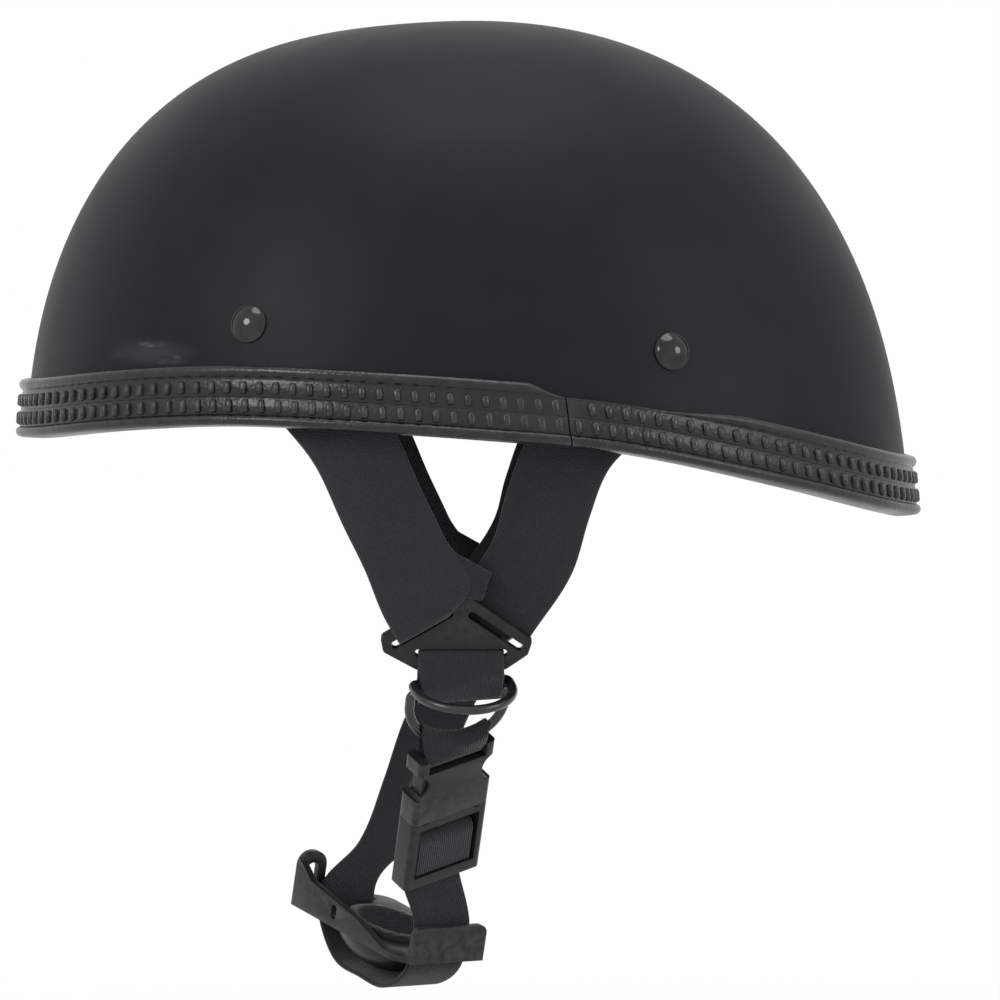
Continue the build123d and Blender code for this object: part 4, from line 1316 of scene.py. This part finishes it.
class HELMET_OT_rings(bpy.types.Operator):
    """Build the two D rings and the web loop that carries them"""

    bl_idname = "helmet.rings"
    bl_label = "D rings"

    def execute(self, context):
        hardware = context.scene.helmet_hardware
        wire_finish = enamel(hardware)
        around = [2 * pi * step / 16 for step in range(16)]
        ring_places = (
            ("upper_ring_wire", "upper_d_ring", "upper_ring", upper_bar, upper_ring_angle),
            ("lower_ring_wire", "lower_d_ring", "helmet", lower_bar, 0.0),
        )
        for name, node, body, bar, swing in ring_places:
            place = axes(bar, ring_axis, -chin_dir) @ Matrix.Rotation(-swing, 4, "X")
            path = d_ring_path()
            closed_path = path + path[:1]
            rows = []
            for index in range(len(closed_path)):
                centre = path[index % len(path)]
                run = path[(index + 1) % len(path)] - path[index - 1 if index < len(path) else -1]
                side = run.cross(Vector((0, 1, 0))).normalized()
                rows.append([
                    place @ (centre + (side * cos(a) + Vector((0, 1, 0)) * sin(a)) * (ring_wire / 2))
                    for a in around
                ])
            bm = bmesh.new()
            across = [ring_wire / 2 * a for a in around + [2 * pi]]
            tube(bm, rows, across, lengths_along(closed_path), closed=True)
            piece(bm, name, wire_finish, body, "ring_metal", node, sharp=60)
        self.loop(context)
        return {"FINISHED"}

    def loop(self, context):
        """Web loop from the divider's foot slot to the lower ring's bar."""
        settings = context.scene.helmet_web
        down = -(hang.to_3x3() @ Vector((0, 1, 0)))
        radius = (loop_hollow + loop_thickness) / 2
        plate_foot = hang @ Vector((base_x, foot_y - soft_gap, 0))
        line_start = lower_bar - chin_dir * (ring_spacing + ring_wire / 2 + ring_play)
        top = hang @ Vector((base_x, base_y - radius, 0))
        end = lower_bar - chin_dir * ring_play
        width = web_width - soft_gap
        centres = [top, plate_foot, line_start, end]
        knots = lengths_along(centres)
        ways = [down, down.lerp(chin_dir, 0.3), chin_dir, chin_dir]
        edges = [level_x, level_x.lerp(ring_axis, 0.25), ring_axis, ring_axis]
        medial = []
        for centre, way, edge in zip(
            smooth(centres, knots, mm), smooth(ways, knots, mm), smooth(edges, knots, mm),
        ):
            way = way.normalized()
            edge = (edge - way * edge.dot(way)).normalized() * (width / 2)
            medial.append((centre, way, edge))
        bm = bmesh.new()
        web(bm, folded(medial, radius), width, loop_thickness, closed=True)
        finish_of = webbing("loop_webbing", settings.rear, settings, lift=1.1)
        piece(bm, "ring_web_loop", finish_of, "helmet", "webbing", "ring_loop", sharp=60)


# Buckle

class HELMET_OT_buckle(bpy.types.Operator):
    """Build the side release buckle and the web loop above it"""

    bl_idname = "helmet.buckle"
    bl_label = "Buckle"

    def execute(self, context):
        settings = context.scene.helmet_hardware
        material = plastic("buckle_plastic_moulded", settings.buckle, 0.3, settings)
        table = (
            ("buckle_socket", "socket_moulding", "helmet"),
            ("buckle_plug", "plug_moulding", "chin_assembly"),
            ("front_prong", "front_prong_moulding", "front_prong_body"),
            ("rear_prong", "rear_prong_moulding", "rear_prong_body"),
        )
        for node, name, body in table:
            bm = softened(node, settings.edge, segments=3)
            piece(bm, name, material, body, "buckle_plastic", node)
        self.loop(context)
        return {"FINISHED"}

    def loop(self, context):
        """Web loop from the lower ring's arc to the socket's bar, bent to the arc at its top."""
        settings = context.scene.helmet_web
        radius = (buckle_loop_hollow + loop_thickness) / 2
        arc_depth = ring_leg + ring_radius
        socket_top = arc_depth + ring_wire / 2 + ring_to_socket
        bar_centre = socket_top + socket_bar_radius
        top_centre = arc_depth
        medial = []
        steps = 10
        for step in range(steps + 1):
            share = step / steps
            centre = lower_bar + chin_dir * (top_centre + (bar_centre - top_centre) * share)
            edge = ring_axis.lerp(buckle_axis, share)
            edge = (edge - chin_dir * edge.dot(chin_dir)).normalized() * (chin_web_width / 2)
            medial.append((centre, chin_dir, edge))
        path = folded(medial, radius)
        centres = [centre for centre, _ in path]
        run = bar_centre - top_centre

        def follow_arc(index, x):
            reach = (centres[index] - lower_bar).dot(chin_dir) - top_centre
            share = min(1.0, max(0.0, 1 - reach / run))
            across = min(abs(x), arc_follow_share * ring_radius)
            rise = ring_radius - sqrt(ring_radius ** 2 - across ** 2)
            return chin_dir * (-rise * share * share)

        bm = bmesh.new()
        web(bm, path, chin_web_width, loop_thickness, closed=True, curve=follow_arc)
        finish_of = webbing("buckle_webbing", settings.rear, settings)
        piece(bm, "buckle_web_loop", finish_of, "helmet", "webbing", "buckle_loop", sharp=60)


# Chin strap and cup

class HELMET_OT_chin_straps(bpy.types.Operator):
    """Build the chin strap and the far strap"""

    bl_idname = "helmet.chin_straps"
    bl_label = "Chin straps"

    def execute(self, context):
        settings = context.scene.helmet_web
        half = chin_web_width / 2
        material = webbing("chin_webbing", settings.front, settings)
        ring = plug_bar_radius + soft_gap + loop_thickness / 2
        front_end = -(plug_height - plug_foot_height - soft_gap)
        edge = buckle_axis * half
        round_bar = [(-ring, front_end), (-ring, -plug_bar_drop - tail_past_bar)]
        for step in range(9):
            angle = pi * step / 8
            round_bar.append((-ring * cos(angle), -plug_bar_drop + ring * sin(angle)))
        round_bar += [(ring, -plug_bar_drop - run_past_bar), (ring, -plug_height)]
        bend_x, bend_z = cup_slot_x - cup_bend_in, cup_bend_z - cup_web_drop
        under = (
            (cup_slot_x, near_rise), (cup_slot_x, cup_slot_rise), (bend_x, bend_z),
            (cup_knee_x, cup_knee_z), (0.0, cup_knee_z - cup_web_drop), (-cup_knee_x, cup_knee_z),
            (-bend_x, bend_z), (-cup_slot_x, -far_slot_end),
        )
        rows = [(buckle_place @ Vector((0, y, z)), edge) for y, z in round_bar]
        rows += [(cup_place @ Vector((x, 0, z)), cup_y * half) for x, z in under]
        bm = bmesh.new()
        web(bm, smooth_rows(rows, chin_step), chin_web_width, loop_thickness)
        piece(bm, "chin_web", material, "chin_assembly", "webbing", "chin_strap", sharp=60)
        self.far(material)
        return {"FINISHED"}

    def far(self, material):
        """Strap from the right divider's foot to the far end of the cup."""
        half = chin_web_width / 2
        down = -(far_hang.to_3x3() @ Vector((0, 1, 0)))
        out = far_hang.to_3x3() @ Vector((0, 0, 1))
        radius = (loop_hollow + loop_thickness) / 2
        top = far_hang @ Vector((base_x, base_y - radius, 0))
        start = far_hang @ Vector((base_x, foot_y - soft_gap - far_loop_drop, 0))
        stub = cup_place @ Vector((-cup_slot_x, 0, far_rise))
        line = stub - start
        route = [
            start + line * down_share + level_x * (line.length * bow_share)
            for down_share, bow_share in far_strap_shares
        ]
        sewn = start + line.normalized() * far_tail
        edge = level_x * half
        end_share, lap_share = far_lap_shares
        rows = [
            (sewn - out * loop_thickness * end_share, edge),
            (start - out * loop_thickness * lap_share, edge), (top - out * radius, edge),
        ]
        for step in range(1, 8):
            angle = pi * step / 8
            rows.append((top - out * radius * cos(angle) - down * radius * sin(angle), edge))
        rows += [(top + out * radius, edge), (start + out * far_face_out, edge)]
        places = [*route, stub, cup_place @ Vector((-cup_slot_x, 0, -far_slot_end))]
        for index, point in enumerate(places):
            share = min(1.0, (index + 1) / (len(places) - 1))
            rows.append((point, (level_x * (1 - share) + cup_y * share).normalized() * half))
        bm = bmesh.new()
        web(bm, smooth_rows(rows), chin_web_width, loop_thickness)
        strap = piece(bm, "far_chin_web", material, None, "webbing", "far_chin_strap", sharp=60)
        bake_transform(strap)


class HELMET_OT_chin_cup(bpy.types.Operator):
    """Build the chin cup and its soft lining"""

    bl_idname = "helmet.chin_cup"
    bl_label = "Chin cup"

    def execute(self, context):
        hardware = context.scene.helmet_hardware
        settings = context.scene.helmet_pads
        material = plastic("cup_plastic_moulded", hardware.cup, 0.36, hardware)
        bm = softened("chin_cup", hardware.edge, segments=2)
        piece(bm, "cup_moulding", material, "chin_assembly", "cup_plastic", "chin_cup")
        cloth = pad_cloth("cup_cloth", settings.cloth, 1400.0)
        mouth = cup_centre + cup_z * lining_mouth_rise
        lining = plumped("chin_cup_pad", lining_voxel, lining_inset, lining_cap, mouth, settings)
        pad = piece(
            lining, "cup_lining", cloth, "chin_assembly", "cup_foam", "chin_cup_pad", sharp=80,
        )
        subdivided(pad)
        return {"FINISHED"}


# Liner and pads

def subdivided(pad):
    """Smooths a pad's faces, the same in the view and in a render."""
    smooth_faces = pad.modifiers.new("Smooth", "SUBSURF")
    smooth_faces.levels = smooth_faces.render_levels = 1


def plumped(node, voxel, shrink, cap, centre, settings):
    """A pad swollen by cloth simulation, held back on the side that faces away from a centre."""
    bm = copied(node)
    mesh = bpy.data.meshes.new(f"{node}_form")
    bm.to_mesh(mesh)
    bm.free()
    form = bpy.data.objects.new(f"{node}_form", mesh)
    context = bpy.context
    context.scene.collection.objects.link(form)
    remesh = form.modifiers.new("Even mesh", "REMESH")
    remesh.mode = "VOXEL"
    remesh.voxel_size = voxel
    inset = form.modifiers.new("Inset", "DISPLACE")
    inset.mid_level = 0.0
    inset.strength = -shrink
    depsgraph = context.evaluated_depsgraph_get()
    even = bpy.data.meshes.new_from_object(form.evaluated_get(depsgraph))
    form.modifiers.clear()
    form.data = even
    rest = [vert.co.copy() for vert in even.vertices]
    cloth = form.modifiers.new("Swell", "CLOTH")
    cloth.settings.use_pressure = True
    cloth.settings.uniform_pressure_force = settings.pressure
    cloth.settings.effector_weights.gravity = 0
    cloth.settings.quality = swell_quality
    cloth.settings.tension_stiffness = swell_tension
    cloth.settings.bending_stiffness = swell_bending
    for number in range(1, swell_frames + 1):
        context.scene.frame_set(number)
    depsgraph = context.evaluated_depsgraph_get()
    swollen = bpy.data.meshes.new_from_object(form.evaluated_get(depsgraph))
    form.modifiers.clear()
    form.data = swollen
    for vert, start in zip(swollen.vertices, rest):
        move = vert.co - start
        if move.length > cap:
            move *= cap / move.length
        outward = (start - centre).normalized()
        beyond = move.dot(outward) - shrink
        vert.co = start + move - outward * max(0.0, beyond)
    context.scene.frame_set(1)
    made = bmesh.new()
    made.from_mesh(form.data)
    bpy.data.objects.remove(form)
    bmesh.ops.smooth_vert(
        made, verts=made.verts, factor=0.5, use_axis_x=True, use_axis_y=True, use_axis_z=True,
    )
    return made


class HELMET_OT_liner(bpy.types.Operator):
    """Build the foam liner"""

    bl_idname = "helmet.liner"
    bl_label = "Foam liner"

    def execute(self, context):
        settings = context.scene.helmet_pads
        bm = softened("foam_liner", liner_edge, flat=0.2, sharp=40)
        foam = liner_foam(settings)
        piece(bm, "bead_foam_liner", foam, "helmet", "liner_foam", "foam_liner", sharp=45)
        return {"FINISHED"}


class HELMET_OT_pads(bpy.types.Operator):
    """Build the five comfort pads"""

    bl_idname = "helmet.pads"
    bl_label = "Comfort pads"

    def execute(self, context):
        settings = context.scene.helmet_pads
        material = pad_cloth("knit_pad_cloth", settings.cloth, 1100.0)
        for place in ("crown", "front", "rear", "left", "right"):
            node = f"{place}_pad"
            bm = plumped(node, settings.voxel, pad_inset, settings.cap, shell_centre, settings)
            pad = piece(bm, f"{place}_cushion", material, "helmet", "pad_cloth", node, sharp=80)
            subdivided(pad)
        return {"FINISHED"}


# Stage

def seen_directly(tree):
    """1 for rays from the camera, from a mirror or through glass, and 0 for light."""
    path = tree.nodes.new("ShaderNodeLightPath").outputs
    direct = calc(tree, "ADD", path["Is Camera Ray"], path["Is Glossy Ray"])
    return calc(tree, "MINIMUM", calc(tree, "ADD", direct, path["Is Transmission Ray"]), 1.0)


def mixed_shader(tree, share, first, second):
    """One shader that turns into another with a share."""
    inputs = {0: share, 1: first.outputs[0], 2: second.outputs[0]}
    return add_node(tree, "ShaderNodeMixShader", inputs)


class HELMET_OT_stage(bpy.types.Operator):
    """Set up the floor, the background, the lamps and the camera"""

    bl_idname = "helmet.stage"
    bl_label = "Stage"

    def execute(self, context):
        scene = context.scene
        settings = scene.helmet_stage
        scene.view_settings.view_transform = "Standard"
        self.floor(scene)
        self.world(scene, settings)
        self.lamps(scene, settings)
        self.camera(scene, settings)
        return {"FINISHED"}

    def floor(self, scene):
        """Pale floor that keeps the shadow, turns white round the helmet and is clear from below."""
        bm = bmesh.new()
        bmesh.ops.create_circle(bm, cap_ends=True, segments=96, radius=floor_radius)
        bmesh.ops.translate(bm, verts=bm.verts, vec=(0, 0, cad_box[0].z - floor_drop))
        mesh = bpy.data.meshes.new("floor")
        bm.to_mesh(mesh)
        bm.free()
        floor = bpy.data.objects.new("floor", mesh)
        scene.collection.objects.link(floor)
        made = bpy.data.materials.new("pale_floor")
        made.use_nodes = True
        tree = made.node_tree
        tree.nodes.clear()
        shown = seen_directly(tree)
        strength = calc(tree, "MULTIPLY", shown, floor_glow)
        glow = add_node(tree, "ShaderNodeEmission", {"Strength": strength})
        matt = add_node(tree, "ShaderNodeBsdfDiffuse", {"Color": floor_grey})
        both = add_node(tree, "ShaderNodeAddShader", {0: matt.outputs[0], 1: glow.outputs[0]})
        place = tree.nodes.new("ShaderNodeTexCoord").outputs["Object"]
        length = add_node(tree, "ShaderNodeVectorMath", {0: place}, operation="LENGTH")
        beyond = calc(tree, "MULTIPLY", graded(tree, length.outputs["Value"], *floor_fade), shown)
        white = add_node(tree, "ShaderNodeEmission", {"Strength": 1.0})
        whole = mixed_shader(tree, beyond, both, white)
        under = tree.nodes.new("ShaderNodeNewGeometry").outputs["Backfacing"]
        clear = tree.nodes.new("ShaderNodeBsdfTransparent")
        shader = mixed_shader(tree, under, whole, clear)
        add_node(tree, "ShaderNodeOutputMaterial", {"Surface": shader.outputs[0]})
        mesh.materials.append(made)

    def world(self, scene, settings):
        """White to the eye and in reflections, and a soft even light on the helmet."""
        world = bpy.data.worlds.new("studio")
        scene.world = world
        world.use_nodes = True
        tree = world.node_tree
        tree.nodes.clear()
        inputs = {"Value": seen_directly(tree), "To Min": settings.sky, "To Max": 1.0}
        strength = add_node(tree, "ShaderNodeMapRange", inputs).outputs[0]
        inputs = {"Color": (1, 1, 1, 1), "Strength": strength}
        sky = add_node(tree, "ShaderNodeBackground", inputs)
        add_node(tree, "ShaderNodeOutputWorld", {"Surface": sky.outputs[0]})

    def lamps(self, scene, settings):
        """Large soft lamps: one at the front left, one above and one at the rear left."""
        table = (
            ("key_lamp", (-1.3, -1.5, 0.9), 1.0, 1.0),
            ("top_lamp", (0.2, -0.2, 1.9), 1.3, 0.8),
            ("rear_lamp", (1.6, -0.9, 0.6), 0.9, 0.55),
        )
        for name, place, size, share in table:
            data = bpy.data.lights.new(name, "AREA")
            data.shape = "DISK"
            data.size = size
            data.energy = settings.key * share
            lamp = bpy.data.objects.new(name, data)
            lamp.location = place
            lamp.rotation_euler = Vector(place).to_track_quat("Z", "Y").to_euler()
            scene.collection.objects.link(lamp)

    def camera(self, scene, settings):
        """Camera level with the rim, square to the wearer's left side."""
        data = bpy.data.cameras.new("camera")
        data.sensor_width = sensor_width
        data.lens = data.sensor_width * settings.distance / settings.view_width
        camera = bpy.data.objects.new("camera", data)
        back = Vector((0, -cos(settings.elevation), sin(settings.elevation)))
        camera.location = Vector(settings.aim) + back * settings.distance
        camera.rotation_euler = back.to_track_quat("Z", "Y").to_euler()
        scene.collection.objects.link(camera)
        scene.camera = camera


class HELMET_PT_parts(bpy.types.Panel):
    """Helmet pieces in the sidebar"""

    bl_idname = "HELMET_PT_parts"
    bl_label = "Half shell helmet"
    bl_space_type = "VIEW_3D"
    bl_region_type = "UI"
    bl_category = "Helmet"

    def draw(self, context):
        for operator in operators:
            self.layout.operator(operator.bl_idname)


settings_groups = {
    "helmet_shell": HelmetShellSettings, "helmet_trim": HelmetTrimSettings,
    "helmet_web": HelmetWebSettings, "helmet_hardware": HelmetHardwareSettings,
    "helmet_pads": HelmetPadSettings, "helmet_stage": HelmetStageSettings,
}
operators = (
    HELMET_OT_shell, HELMET_OT_trim, HELMET_OT_rivets, HELMET_OT_y_straps, HELMET_OT_dividers,
    HELMET_OT_rings, HELMET_OT_buckle, HELMET_OT_chin_straps, HELMET_OT_chin_cup, HELMET_OT_liner,
    HELMET_OT_pads, HELMET_OT_stage,
)


def register():
    """Registers the settings, the operators and the panel."""
    for made in (*settings_groups.values(), *operators, HELMET_PT_parts):
        bpy.utils.register_class(made)
    for name, group in settings_groups.items():
        setattr(bpy.types.Scene, name, PointerProperty(type=group))


def unregister():
    """Takes them out again."""
    for name in settings_groups:
        delattr(bpy.types.Scene, name)
    for made in (HELMET_PT_parts, *reversed(operators), *settings_groups.values()):
        bpy.utils.unregister_class(made)


def main():
    """Builds every piece and the stage."""
    register()
    for operator in operators:
        group, name = operator.bl_idname.split(".")
        getattr(getattr(bpy.ops, group), name)()


if __name__ == "__main__":
    main()
